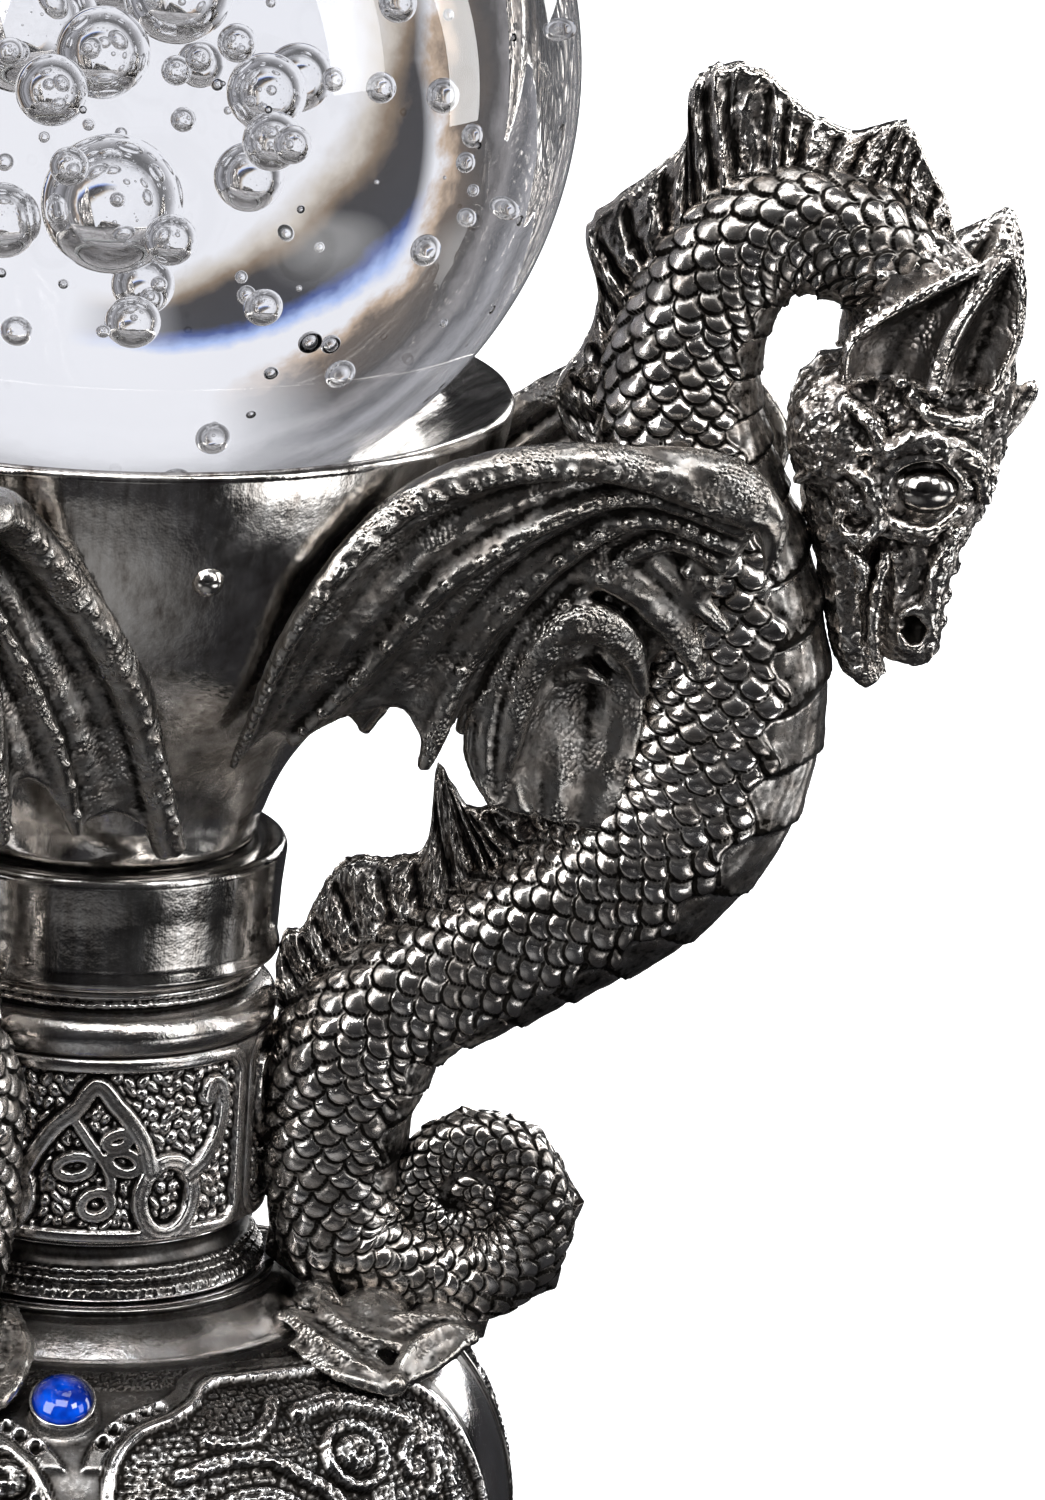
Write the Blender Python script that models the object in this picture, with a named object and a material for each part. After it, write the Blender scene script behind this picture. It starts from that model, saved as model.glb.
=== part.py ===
"""Crystal ball on a three-dragon stand.

A solid glass ball rests on a loose soft ring in a flared cup.  The cup stands on a
collar, a drum and a waist ring, on a domed base with a felt pad.  Three dragons stand
around the column, each with its tail coiled on the dome and two wings round the cup.

Units are metres, +Z is up, and the origin is the centre of the pad's underside.
Each dragon is drawn once, in its own frame: u points away from the column, t goes
round it and z is up.  Copies are turned about Z.
"""

import math

import bmesh
import bpy
from mathutils import Matrix, Vector, geometry

MM = 0.001
GAP = 0.3 * MM

# Ball and seat
BALL_R = 50.0 * MM
BALL_Z = 190.0 * MM
SEAT_CONTACT_R = 24.0 * MM
SEAT_TUBE_R = 1.6 * MM

# Stand heights and radii
PAD_R = 51.0 * MM
PAD_TOP = 1.5 * MM
BASE_R = 50.0 * MM
BASE_FOOT_R = 54.0 * MM
BASE_TOP = 52.0 * MM
WAIST_TOP = 58.5 * MM
DRUM_TOP = 88.3 * MM
COLLAR_TOP = 102.0 * MM
STEM_R = 16.0 * MM
RIM_R = 44.4 * MM
RIM_Z = 154.4 * MM
LATHE_STEPS = 40

# Gems on the dome
GEM_R = 3.4 * MM
GEM_HEIGHT = 2.0 * MM
GEM_DISTANCE = 36.6 * MM
GEM_Z = 45.1 * MM
GEM_TILT = math.radians(20.0)
GEM_ANGLE = math.radians(31.0)

# Dragons
DRAGON_ANGLES = {"right": 0.0, "left": -120.0, "back": 120.0}
SECTION_POINTS = 10
STEPS_PER_SPAN = 1
BODY_DEPTH_RATIO = 0.86
COIL_CENTRE = (43.3 * MM, 60.3 * MM)
COIL_R = 11.6 * MM
COIL_HALF_THICKNESS = 4.6 * MM
FIN_HALF_THICKNESS = 0.9 * MM
WING_HALF_THICKNESS = 1.1 * MM
WING_STATIONS = 7
WING_STEPS_BETWEEN_FINGERS = 2

# Body centre line from tail to nape: (u, z, half depth) in millimetres.
BODY_PATH = (
    (36.6, 51.0, 5.0), (31.2, 55.6, 6.0), (28.6, 63.0, 6.0), (28.5, 71.4, 6.2),
    (29.6, 78.8, 6.6), (35.0, 84.8, 7.2), (44.2, 89.7, 8.6), (52.5, 94.6, 9.3),
    (60.0, 100.0, 10.3), (65.6, 107.0, 10.9), (69.2, 117.5, 11.3), (69.8, 128.1, 10.8),
    (67.8, 138.0, 10.0), (64.6, 147.0, 9.2), (62.9, 156.5, 8.4), (64.3, 165.2, 7.5),
    (68.6, 172.2, 7.1), (74.6, 175.8, 6.9), (81.2, 175.0, 6.9), (86.6, 171.0, 6.6),
)
# Head centre line from crown to snout: (u, z, half depth, half width) in millimetres.
HEAD_PATH = (
    (88.0, 171.0, 5.0, 5.5), (89.6, 165.0, 8.6, 7.0), (89.6, 159.0, 10.4, 7.6),
    (88.6, 152.5, 11.2, 7.6), (87.4, 145.2, 9.6, 7.2), (87.2, 138.3, 7.0, 5.6),
    (87.2, 132.0, 5.6, 5.0), (87.0, 126.5, 4.4, 4.4), (87.0, 123.6, 2.4, 2.4),
)
# Sail along the nape and ridge along the lower back: (u, z) outlines in millimetres.
NAPE_FIN = (
    (56.0, 150.0), (50.0, 157.0), (53.2, 167.0), (52.4, 175.5), (62.0, 184.5),
    (63.4, 192.6), (69.8, 191.6), (79.5, 186.0), (86.0, 187.0), (90.0, 180.5),
    (85.0, 172.0), (75.0, 176.0), (66.5, 169.0), (63.0, 158.0), (63.0, 150.0),
)
BACK_FIN = (
    (23.6, 84.0), (27.8, 97.6), (36.2, 100.6), (38.0, 109.0), (44.9, 107.6),
    (52.0, 108.0), (58.0, 103.0), (46.0, 91.0), (32.0, 82.0),
)
# Wing fingers from wrist to tip: (u, t, z) in millimetres, t away from the dragon's plane.
BROAD_WING_FINGERS = (
    ((71.5, 21.0, 148.5), (54.5, 25.5, 154.0), (36.0, 31.0, 151.0), (23.8, 34.8, 138.0),
     (15.8, 23.0, 116.5)),
    ((70.8, 19.6, 146.0), (56.9, 23.0, 149.6), (40.0, 26.5, 141.0), (28.8, 24.6, 127.0),
     (22.6, 20.6, 115.5)),
    ((70.0, 18.0, 143.6), (59.0, 20.5, 146.6), (47.0, 20.0, 138.0), (39.6, 18.0, 127.0),
     (37.0, 17.0, 117.0)),
    ((69.2, 16.4, 141.0), (61.4, 17.0, 143.4), (52.0, 15.6, 133.6), (46.6, 14.0, 122.0),
     (46.0, 13.4, 113.6)),
    ((68.4, 14.6, 138.4), (63.6, 13.6, 139.4), (58.0, 13.0, 133.6), (54.0, 12.6, 126.0),
     (52.4, 12.4, 119.6)),
)
NARROW_WING_FINGERS = (
    ((71.5, 21.0, 148.5), (57.0, 20.5, 151.6), (43.6, 17.0, 145.0), (29.0, 19.8, 127.4),
     (16.6, 19.2, 105.6)),
    ((70.8, 19.6, 146.0), (58.5, 19.0, 147.5), (46.6, 15.8, 139.5), (36.0, 16.4, 124.0),
     (28.4, 15.4, 110.6)),
    ((70.0, 18.0, 143.6), (60.0, 17.0, 144.0), (50.6, 14.6, 134.5), (43.6, 14.2, 121.5),
     (39.6, 13.4, 111.6)),
    ((69.2, 16.4, 141.0), (61.4, 16.0, 141.4), (54.6, 13.8, 131.8), (49.6, 13.0, 121.0),
     (47.6, 12.8, 113.6)),
    ((68.4, 14.6, 138.4), (63.6, 13.6, 139.4), (58.0, 13.0, 133.6), (54.0, 12.6, 126.0),
     (52.4, 12.4, 119.6)),
)


def clear_scene():
    """Remove whatever the file was opened with."""
    for obj in list(bpy.data.objects):
        bpy.data.objects.remove(obj, do_unlink=True)


def make_material(name, colour, roughness, metallic, transmission=0.0):
    """Return one Principled material."""
    material = bpy.data.materials.new(name)
    material.use_nodes = True
    shader = material.node_tree.nodes["Principled BSDF"]
    shader.inputs["Base Color"].default_value = (*colour, 1.0)
    shader.inputs["Roughness"].default_value = roughness
    shader.inputs["Metallic"].default_value = metallic
    shader.inputs["Transmission Weight"].default_value = transmission
    return material


def make_object(name, mesh, material, sharp_angle=math.radians(40.0)):
    """Link a smooth-shaded object with its material."""
    mesh.shade_smooth()
    mesh.set_sharp_from_angle(angle=sharp_angle)
    if not mesh.materials:
        mesh.materials.append(material)
    obj = bpy.data.objects.new(name, mesh)
    bpy.context.scene.collection.objects.link(obj)
    return obj


def finish_mesh(name, bm):
    """Turn a closed bmesh into a mesh whose faces point out."""
    bmesh.ops.recalc_face_normals(bm, faces=bm.faces)
    mesh = bpy.data.meshes.new(name)
    bm.to_mesh(mesh)
    bm.free()
    return mesh


def lathe_mesh(name, profile, steps=LATHE_STEPS):
    """Turn a closed outline of (radius, z) points about Z; radius 0 closes on the axis."""
    bm = bmesh.new()
    rings = []
    for radius, z in profile:
        if radius < 1e-6:
            rings.append([bm.verts.new((0.0, 0.0, z))])
            continue
        turns = (2.0 * math.pi * i / steps for i in range(steps))
        rings.append([bm.verts.new((radius * math.cos(a), radius * math.sin(a), z)) for a in turns])
    for upper, lower in zip(rings, rings[1:] + rings[:1]):
        bridge_rings(bm, upper, lower, steps)
    return finish_mesh(name, bm)


def bridge_rings(bm, first, second, steps):
    """Join two rings, either of which may be a single point."""
    if len(first) == 1 and len(second) == 1:
        return
    for i in range(steps):
        j = (i + 1) % steps
        corners = [first[i % len(first)], first[j % len(first)],
                   second[j % len(second)], second[i % len(second)]]
        corners = list(dict.fromkeys(corners))
        bm.faces.new(corners)


def smooth_path(points, steps):
    """Catmull-Rom curve through points of any dimension, steps segments to a span."""
    extended = [points[0], *points, points[-1]]
    result = []
    for i in range(len(points) - 1):
        before, start, end, after = extended[i:i + 4]
        for k in range(steps):
            result.append([catmull_rom(k / steps, *values)
                           for values in zip(before, start, end, after)])
    result.append(list(points[-1]))
    return result


def catmull_rom(s, before, start, end, after):
    """One coordinate of a Catmull-Rom span at 0 <= s <= 1."""
    linear = (end - before) * s
    square = (2.0 * before - 5.0 * start + 4.0 * end - after) * s ** 2
    cube = (3.0 * (start - end) + after - before) * s ** 3
    return 0.5 * (2.0 * start + linear + square + cube)


def sweep_mesh(name, stations):
    """Skin oval sections along a path in the u-z plane: (u, z, half depth, half width)."""
    bm = bmesh.new()
    rings = []
    for i, (u, z, depth, width) in enumerate(stations):
        ahead = stations[min(i + 1, len(stations) - 1)]
        behind = stations[max(i - 1, 0)]
        along = Vector((ahead[0] - behind[0], 0.0, ahead[1] - behind[1])).normalized()
        across = Vector((-along.z, 0.0, along.x))
        centre = Vector((u, 0.0, z))
        ring = []
        for k in range(SECTION_POINTS):
            angle = 2.0 * math.pi * k / SECTION_POINTS
            offset = across * depth * math.cos(angle) + Vector((0.0, width * math.sin(angle), 0.0))
            ring.append(bm.verts.new(centre + offset))
        rings.append(ring)
    for first, second in zip(rings, rings[1:]):
        bridge_rings(bm, first, second, SECTION_POINTS)
    bm.faces.new(rings[0])
    bm.faces.new(rings[-1])
    return finish_mesh(name, bm)


def plate_mesh(name, outline, half_thickness):
    """Flat plate in the u-z plane from an outline in millimetres."""
    bm = bmesh.new()
    near = [bm.verts.new((u * MM, -half_thickness, z * MM)) for u, z in outline]
    far = [bm.verts.new((u * MM, half_thickness, z * MM)) for u, z in outline]
    fill = geometry.tessellate_polygon([[Vector((u, z, 0.0)) for u, z in outline]])
    for a, b, c in fill:
        bm.faces.new((near[a], near[b], near[c]))
        bm.faces.new((far[c], far[b], far[a]))
    for i in range(len(outline)):
        j = (i + 1) % len(outline)
        bm.faces.new((near[i], near[j], far[j], far[i]))
    return finish_mesh(name, bm)


def disc_mesh(name, centre, radius, half_thickness, steps=18):
    """Round-edged disc across t, standing for the coiled end of the tail."""
    bm = bmesh.new()
    section = ((0.0, -half_thickness), (0.8 * radius, -half_thickness), (radius, 0.0),
               (0.8 * radius, half_thickness), (0.0, half_thickness))
    rings = []
    for distance, t in section:
        if distance == 0.0:
            rings.append([bm.verts.new((centre[0], t, centre[1]))])
            continue
        turns = (2.0 * math.pi * i / steps for i in range(steps))
        rings.append([bm.verts.new((centre[0] + distance * math.cos(a), t,
                                    centre[1] + distance * math.sin(a))) for a in turns])
    for first, second in zip(rings, rings[1:]):
        bridge_rings(bm, first, second, steps)
    return finish_mesh(name, bm)


def union_meshes(name, meshes):
    """Join closed meshes into one body with Boolean unions."""
    pieces = [bpy.data.objects.new(f"{name}_{i}", mesh) for i, mesh in enumerate(meshes)]
    for piece in pieces:
        bpy.context.scene.collection.objects.link(piece)
    for piece in pieces[1:]:
        join = pieces[0].modifiers.new("join", "BOOLEAN")
        join.operation = "UNION"
        join.solver = "EXACT"
        join.object = piece
    graph = bpy.context.evaluated_depsgraph_get()
    joined = bpy.data.meshes.new_from_object(pieces[0].evaluated_get(graph))
    joined.name = name
    for piece in pieces:
        bpy.data.objects.remove(piece, do_unlink=True)
    return joined


def dragon_mesh():
    """Body, coiled tail, head and both fins of one dragon."""
    body = [(u * MM, z * MM, depth * MM, depth * BODY_DEPTH_RATIO * MM)
            for u, z, depth in smooth_path(BODY_PATH, STEPS_PER_SPAN)]
    head = [tuple(value * MM for value in station) for station in HEAD_PATH]
    return union_meshes("dragon", [
        sweep_mesh("dragon_trunk", body),
        disc_mesh("dragon_coil", COIL_CENTRE, COIL_R, COIL_HALF_THICKNESS),
        sweep_mesh("dragon_head", head),
        plate_mesh("dragon_nape_fin", NAPE_FIN, FIN_HALF_THICKNESS),
        plate_mesh("dragon_back_fin", BACK_FIN, FIN_HALF_THICKNESS),
    ])


def wing_grid(side):
    """Rows of points, one row a finger or a line between two fingers; the wing on side +1 is
    the narrow one."""
    fingers = []
    for finger in NARROW_WING_FINGERS if side > 0 else BROAD_WING_FINGERS:
        curve = smooth_path(finger, 3)
        picks = [round(i * (len(curve) - 1) / (WING_STATIONS - 1)) for i in range(WING_STATIONS)]
        fingers.append([Vector((u, side * t, z)) * MM for u, t, z in (curve[k] for k in picks)])
    rows = []
    for first, second in zip(fingers, fingers[1:]):
        for k in range(WING_STEPS_BETWEEN_FINGERS):
            share = k / WING_STEPS_BETWEEN_FINGERS
            rows.append([a.lerp(b, share) for a, b in zip(first, second)])
    rows.append(fingers[-1])
    return rows


def grid_normal(rows, i, j):
    """Unit normal of a point grid at row i, column j."""
    along_row = rows[i][min(j + 1, len(rows[i]) - 1)] - rows[i][max(j - 1, 0)]
    along_column = rows[min(i + 1, len(rows) - 1)][j] - rows[max(i - 1, 0)][j]
    return along_row.cross(along_column).normalized()


def wing_mesh(side):
    """Closed sheet of even thickness through the wing's fingers."""
    rows = wing_grid(side)
    bm = bmesh.new()
    layers = []
    for sign in (1.0, -1.0):
        layer = []
        for i, row in enumerate(rows):
            layer.append([bm.verts.new(point + grid_normal(rows, i, j) * sign * WING_HALF_THICKNESS)
                          for j, point in enumerate(row)])
        layers.append(layer)
    last_row, last_column = len(rows) - 1, len(rows[0]) - 1
    for i in range(last_row):
        for j in range(last_column):
            for layer in layers:
                bm.faces.new((layer[i][j], layer[i][j + 1], layer[i + 1][j + 1], layer[i + 1][j]))
    border = [(0, j) for j in range(last_column)]
    border += [(i, last_column) for i in range(last_row)]
    border += [(last_row, j) for j in range(last_column, 0, -1)]
    border += [(i, 0) for i in range(last_row, 0, -1)]
    for (i, j), (k, m) in zip(border, border[1:] + border[:1]):
        bm.faces.new((layers[0][i][j], layers[0][k][m], layers[1][k][m], layers[1][i][j]))
    return finish_mesh("wing", bm)


def build_ball(material):
    """Solid glass ball with its origin at its centre, on the lift and turn axis."""
    bm = bmesh.new()
    bmesh.ops.create_uvsphere(bm, u_segments=40, v_segments=20, radius=BALL_R)
    ball = make_object("crystal_ball", finish_mesh("crystal_ball", bm), material)
    ball.location = (0.0, 0.0, BALL_Z)


def build_seat_ring(material):
    """Loose soft ring that carries the ball inside the cup."""
    contact_z = BALL_Z - math.sqrt(BALL_R ** 2 - SEAT_CONTACT_R ** 2)
    lean = math.asin(SEAT_CONTACT_R / BALL_R)
    reach = SEAT_TUBE_R + GAP
    centre_r = SEAT_CONTACT_R + reach * math.sin(lean)
    centre_z = contact_z - reach * math.cos(lean)
    turns = (2.0 * math.pi * i / 8 for i in range(8))
    profile = [(centre_r + SEAT_TUBE_R * math.cos(a), centre_z + SEAT_TUBE_R * math.sin(a))
               for a in turns]
    make_object("seat_ring", lathe_mesh("seat_ring", profile), material)


def build_cup(material):
    """Flared cup, its stem socketed in the collar, hollow under the ball."""
    foot = DRUM_TOP + GAP
    outer = [(STEM_R, foot), (STEM_R, COLLAR_TOP + GAP), (18.0 * MM, COLLAR_TOP + 2 * GAP),
             (17.8 * MM, 107.0 * MM), (21.0 * MM, 113.0 * MM), (28.0 * MM, 121.5 * MM),
             (35.5 * MM, 131.0 * MM), (40.6 * MM, 141.0 * MM), (43.4 * MM, 149.0 * MM),
             (RIM_R, RIM_Z - 1.2 * MM), (RIM_R - 0.8 * MM, RIM_Z)]
    inner = [(37.6 * MM, 151.2 * MM), (33.6 * MM, 148.0 * MM), (28.5 * MM, 142.6 * MM),
             (24.0 * MM, 141.0 * MM), (22.0 * MM, 138.0 * MM), (0.0, 134.0 * MM), (0.0, foot)]
    make_object("cup", lathe_mesh("cup", outer + inner), material)


def build_collar(material):
    """Polished band round the foot of the cup's stem."""
    inner = STEM_R + GAP
    profile = [(inner, COLLAR_TOP), (20.6 * MM, COLLAR_TOP), (21.2 * MM, 101.0 * MM),
               (20.4 * MM, 90.4 * MM), (20.8 * MM, DRUM_TOP + GAP), (inner, DRUM_TOP + GAP)]
    make_object("collar", lathe_mesh("collar", profile), material)


def build_drum(material):
    """Column drum with a rounded shoulder and a sunk panel."""
    profile = [(0.0, DRUM_TOP), (18.6 * MM, DRUM_TOP), (20.0 * MM, 86.6 * MM),
               (19.6 * MM, 84.4 * MM), (20.4 * MM, 82.6 * MM), (20.4 * MM, 59.9 * MM),
               (19.4 * MM, WAIST_TOP + GAP), (0.0, WAIST_TOP + GAP)]
    make_object("column_drum", lathe_mesh("column_drum", profile), material)


def build_waist(material):
    """Ring of two round mouldings under the drum."""
    bottom = BASE_TOP + GAP
    profile = [(0.0, WAIST_TOP), (17.6 * MM, WAIST_TOP), (18.2 * MM, 57.0 * MM),
               (17.2 * MM, 55.6 * MM), (19.6 * MM, 54.2 * MM), (20.4 * MM, bottom), (0.0, bottom)]
    make_object("waist_ring", lathe_mesh("waist_ring", profile), material)


def build_base(material):
    """Domed base, open underneath."""
    bottom = PAD_TOP + GAP
    outer = [(0.0, BASE_TOP), (21.6 * MM, BASE_TOP), (24.0 * MM, 50.0 * MM),
             (26.4 * MM, 47.8 * MM), (33.0 * MM, 45.9 * MM), (39.0 * MM, 43.8 * MM),
             (44.0 * MM, 40.3 * MM), (47.8 * MM, 34.5 * MM), (BASE_R, 26.0 * MM),
             (BASE_R, 17.0 * MM), (51.2 * MM, 11.0 * MM), (BASE_FOOT_R, 7.0 * MM),
             (BASE_FOOT_R, bottom)]
    inner = [(45.0 * MM, bottom), (42.0 * MM, 26.0 * MM), (34.0 * MM, 36.0 * MM),
             (0.0, 38.0 * MM)]
    make_object("base", lathe_mesh("base", outer + inner), material)


def build_pad(material):
    """Felt disc under the base."""
    profile = [(0.0, PAD_TOP), (PAD_R, PAD_TOP), (PAD_R, 0.0), (0.0, 0.0)]
    make_object("felt_pad", lathe_mesh("felt_pad", profile), material)


def build_gems(material):
    """One domed gem on the base beside each dragon, sharing one mesh."""
    profile = [(0.0, 0.0), (GEM_R, 0.0)]
    for i in range(1, 5):
        angle = 0.5 * math.pi * i / 4
        profile.append((GEM_R * math.cos(angle), GEM_HEIGHT * math.sin(angle)))
    profile[-1] = (0.0, GEM_HEIGHT)
    mesh = lathe_mesh("gem", profile, steps=16)
    lift = Matrix.Translation((GEM_DISTANCE, 0.0, GEM_Z))
    tilt = Matrix.Rotation(GEM_TILT, 4, "Y")
    for place, angle in DRAGON_ANGLES.items():
        gem = make_object(f"gem_{place}", mesh, material)
        turn = Matrix.Rotation(math.radians(angle) + GEM_ANGLE, 4, "Z")
        gem.matrix_world = turn @ lift @ tilt


def build_dragons(material, wing_material):
    """Three dragons, each with a near and a far wing."""
    body = dragon_mesh()
    wings = {"a": wing_mesh(-1.0), "b": wing_mesh(1.0)}
    for place, angle in DRAGON_ANGLES.items():
        turn = Matrix.Rotation(math.radians(angle), 4, "Z")
        make_object(f"dragon_{place}", body, material).matrix_world = turn
        for side, mesh in wings.items():
            make_object(f"wing_{place}_{side}", mesh, wing_material).matrix_world = turn


def main():
    """Build every piece."""
    clear_scene()
    glass = make_material("clear_glass", (0.97, 0.98, 1.0), 0.02, 0.0, transmission=1.0)
    pewter = make_material("antique_pewter", (0.22, 0.21, 0.20), 0.32, 1.0)
    polished = make_material("polished_pewter", (0.36, 0.35, 0.34), 0.16, 1.0)
    gem = make_material("blue_gem", (0.01, 0.05, 0.55), 0.08, 0.0)
    felt = make_material("felt", (0.03, 0.03, 0.03), 0.95, 0.0)
    rubber = make_material("soft_ring", (0.55, 0.55, 0.54), 0.5, 0.0)
    build_pad(felt)
    build_base(pewter)
    build_waist(pewter)
    build_drum(pewter)
    build_collar(polished)
    build_cup(polished)
    build_seat_ring(rubber)
    build_ball(glass)
    build_gems(gem)
    build_dragons(pewter, pewter)


main()
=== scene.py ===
import math

import bpy
import numpy as np
from mathutils import Matrix, Vector, noise
from mathutils.kdtree import KDTree


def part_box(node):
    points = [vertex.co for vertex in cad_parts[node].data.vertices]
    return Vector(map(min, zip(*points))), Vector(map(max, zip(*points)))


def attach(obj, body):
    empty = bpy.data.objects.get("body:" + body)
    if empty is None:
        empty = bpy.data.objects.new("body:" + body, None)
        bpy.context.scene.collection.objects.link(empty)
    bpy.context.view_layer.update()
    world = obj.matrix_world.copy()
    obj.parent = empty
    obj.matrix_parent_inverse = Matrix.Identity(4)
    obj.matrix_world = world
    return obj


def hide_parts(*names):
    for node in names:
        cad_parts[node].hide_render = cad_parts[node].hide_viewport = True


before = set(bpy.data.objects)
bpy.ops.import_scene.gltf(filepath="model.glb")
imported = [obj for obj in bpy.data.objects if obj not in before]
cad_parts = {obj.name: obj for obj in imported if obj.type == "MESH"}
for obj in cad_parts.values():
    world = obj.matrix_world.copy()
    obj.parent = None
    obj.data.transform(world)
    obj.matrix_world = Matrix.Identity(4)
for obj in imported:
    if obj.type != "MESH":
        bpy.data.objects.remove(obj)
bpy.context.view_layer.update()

# A clear glass ball full of bubbles on a dark pewter stand with three sea dragons.
# Lengths in the outlines below are millimetres in the frame's own axes.  A dragon is
# drawn once in its own plane (u away from the column, t round it, z up) and turned.

MM = 0.001
DRAGONS = {"right": 0.0, "left": -120.0, "back": 120.0}     # degrees round the column
TAU = 2.0 * math.pi


# ---------------------------------------------------------------- mesh helpers

def spline(points, places):
    """Catmull-Rom curve through rows of points, at places from 0 to len(points) - 1."""
    points = np.asarray(points, float)
    places = np.clip(np.asarray(places, float), 0.0, len(points) - 1.0)
    span = np.minimum(places.astype(int), len(points) - 2)
    s = (places - span)[..., None]
    padded = np.concatenate([2 * points[:1] - points[1:2], points,
                             2 * points[-1:] - points[-2:-1]])
    before, start, end, after = (padded[span + k] for k in range(4))
    linear = (end - before) * s
    square = (2 * before - 5 * start + 4 * end - after) * s ** 2
    cube = (3 * (start - end) + after - before) * s ** 3
    return 0.5 * (2 * start + linear + square + cube)


def curve(points, count):
    """count points spread evenly by index along a spline."""
    return spline(points, np.linspace(0.0, len(points) - 1.0, count))


def grid_faces(rows, columns, wrap_rows=False, wrap_columns=False, start=0):
    """Quads of a point grid stored row by row."""
    i = np.arange(rows if wrap_rows else rows - 1)[:, None]
    j = np.arange(columns if wrap_columns else columns - 1)[None, :]
    i_next, j_next = (i + 1) % rows, (j + 1) % columns
    corners = [i * columns + j, i * columns + j_next, i_next * columns + j_next, i_next * columns + j]
    return np.stack(np.broadcast_arrays(*corners), axis=-1).reshape(-1, 4) + start


def capped_faces(rows, columns):
    """Quads round rings of points, with a fan at each end onto two further points that are
    stored after the rings."""
    faces = grid_faces(rows, columns, wrap_columns=True).tolist()
    start, last = rows * columns, (rows - 1) * columns
    for j in range(columns):
        k = (j + 1) % columns
        faces += [[start, k, j], [start + 1, last + j, last + k]]
    return faces


def grid_normals(grid):
    """Unit normals of an open point grid of shape (rows, columns, 3)."""
    normal = np.cross(np.gradient(grid, axis=0), np.gradient(grid, axis=1))
    return normal / np.maximum(np.linalg.norm(normal, axis=-1, keepdims=True), 1e-12)


def new_mesh(name, points, faces):
    """Mesh from points in millimetres and a list of faces."""
    mesh = bpy.data.meshes.new(name)
    mesh.from_pydata((np.asarray(points) * MM).tolist(), [], faces)
    mesh.validate()
    mesh.shade_smooth()
    return mesh


def mesh_points(mesh):
    flat = np.empty(len(mesh.vertices) * 3)
    mesh.vertices.foreach_get("co", flat)
    return flat.reshape(-1, 3)


def mesh_normals(mesh):
    flat = np.empty(len(mesh.vertices) * 3)
    mesh.vertex_normals.foreach_get("vector", flat)
    return flat.reshape(-1, 3)


def mark_relief(mesh, fine_steps=3, coarse_steps=24, pattern=None, softness=1.0):
    """Store how far each point stands above its neighbourhood, 0 in a recess to 1 on a crest,
    mixed with a pattern of the same range if there is one."""
    points, normals = mesh_points(mesh), mesh_normals(mesh)
    edges = np.empty(len(mesh.edges) * 2, int)
    mesh.edges.foreach_get("vertices", edges)
    first, second = edges.reshape(-1, 2).T
    count = len(points)
    degree = np.maximum(np.bincount(first, minlength=count) + np.bincount(second, minlength=count), 1)
    smooth = points.copy()
    relief = np.zeros(count)
    for step in range(1, coarse_steps + 1):
        total = np.stack([np.bincount(first, smooth[second, k], count)
                          + np.bincount(second, smooth[first, k], count) for k in range(3)], axis=1)
        smooth = 0.5 * smooth + 0.5 * total / degree[:, None]
        if step in (fine_steps, coarse_steps):
            height = np.einsum("ij,ij->i", points - smooth, normals)
            relief += 0.5 * np.tanh(height / (softness * np.percentile(np.abs(height), 80) + 1e-9))
    values = np.clip(0.5 + 0.5 * relief, 0.0, 1.0)
    if pattern is not None:
        values = 0.4 * values + 0.6 * pattern
    mesh.attributes.new("relief", "FLOAT", "POINT").data.foreach_set("value", values)


def tube(path, radii, sides=12, flat=1.0):
    """Closed round tube along a path; radii is one number or one for each path point."""
    path = np.asarray(path, float)
    radii = np.broadcast_to(np.asarray(radii, float), len(path))
    tangent = np.gradient(path, axis=0)
    tangent /= np.maximum(np.linalg.norm(tangent, axis=1, keepdims=True), 1e-9)
    side = np.cross(tangent[0], (0.31, 0.87, 0.38))
    side /= np.linalg.norm(side)
    angle = np.arange(sides) * TAU / sides
    rings = []
    for point, direction, radius in zip(path, tangent, radii):
        side = side - direction * np.dot(side, direction)
        side /= np.linalg.norm(side)
        other = np.cross(direction, side)
        ring = np.cos(angle)[:, None] * side + flat * np.sin(angle)[:, None] * other
        rings.append(point + radius * ring)
    return np.concatenate(rings + [path[:1], path[-1:]]), capped_faces(len(rings), sides)


def smooth_tube(controls, radii, count=24, sides=12, flat=1.0):
    """Tube along a spline, its radius following its own spline."""
    widths = spline(np.asarray(radii, float)[:, None],
                    np.linspace(0, len(radii) - 1, count))[:, 0]
    return tube(curve(controls, count), np.maximum(widths, 0.05), sides, flat)


def ellipsoid(centre, radii, rows=14, columns=20):
    """Closed ellipsoid as points and faces."""
    up = np.linspace(-math.pi / 2, math.pi / 2, rows)[1:-1]
    turn = np.arange(columns) * TAU / columns
    ring = np.stack([np.outer(np.cos(up), np.cos(turn)), np.outer(np.cos(up), np.sin(turn)),
                     np.repeat(np.sin(up)[:, None], columns, 1)], axis=-1).reshape(-1, 3)
    points = np.concatenate([ring, [[0, 0, -1], [0, 0, 1]]]) * radii + centre
    return points, capped_faces(rows - 2, columns)


def plate(near, far):
    """Closed plate between two point grids of the same shape."""
    rows, columns = near.shape[:2]
    count = rows * columns
    index = np.arange(count).reshape(rows, columns)
    border = np.concatenate([index[0, :-1], index[:-1, -1], index[-1, :0:-1], index[:0:-1, 0]])
    following = np.roll(border, -1)
    rim = np.stack([following, border, border + count, following + count], axis=1)
    back = grid_faces(rows, columns, start=count)[:, ::-1]
    faces = np.concatenate([grid_faces(rows, columns), back, rim]).tolist()
    return np.concatenate([near.reshape(-1, 3), far.reshape(-1, 3)]), faces


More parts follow.
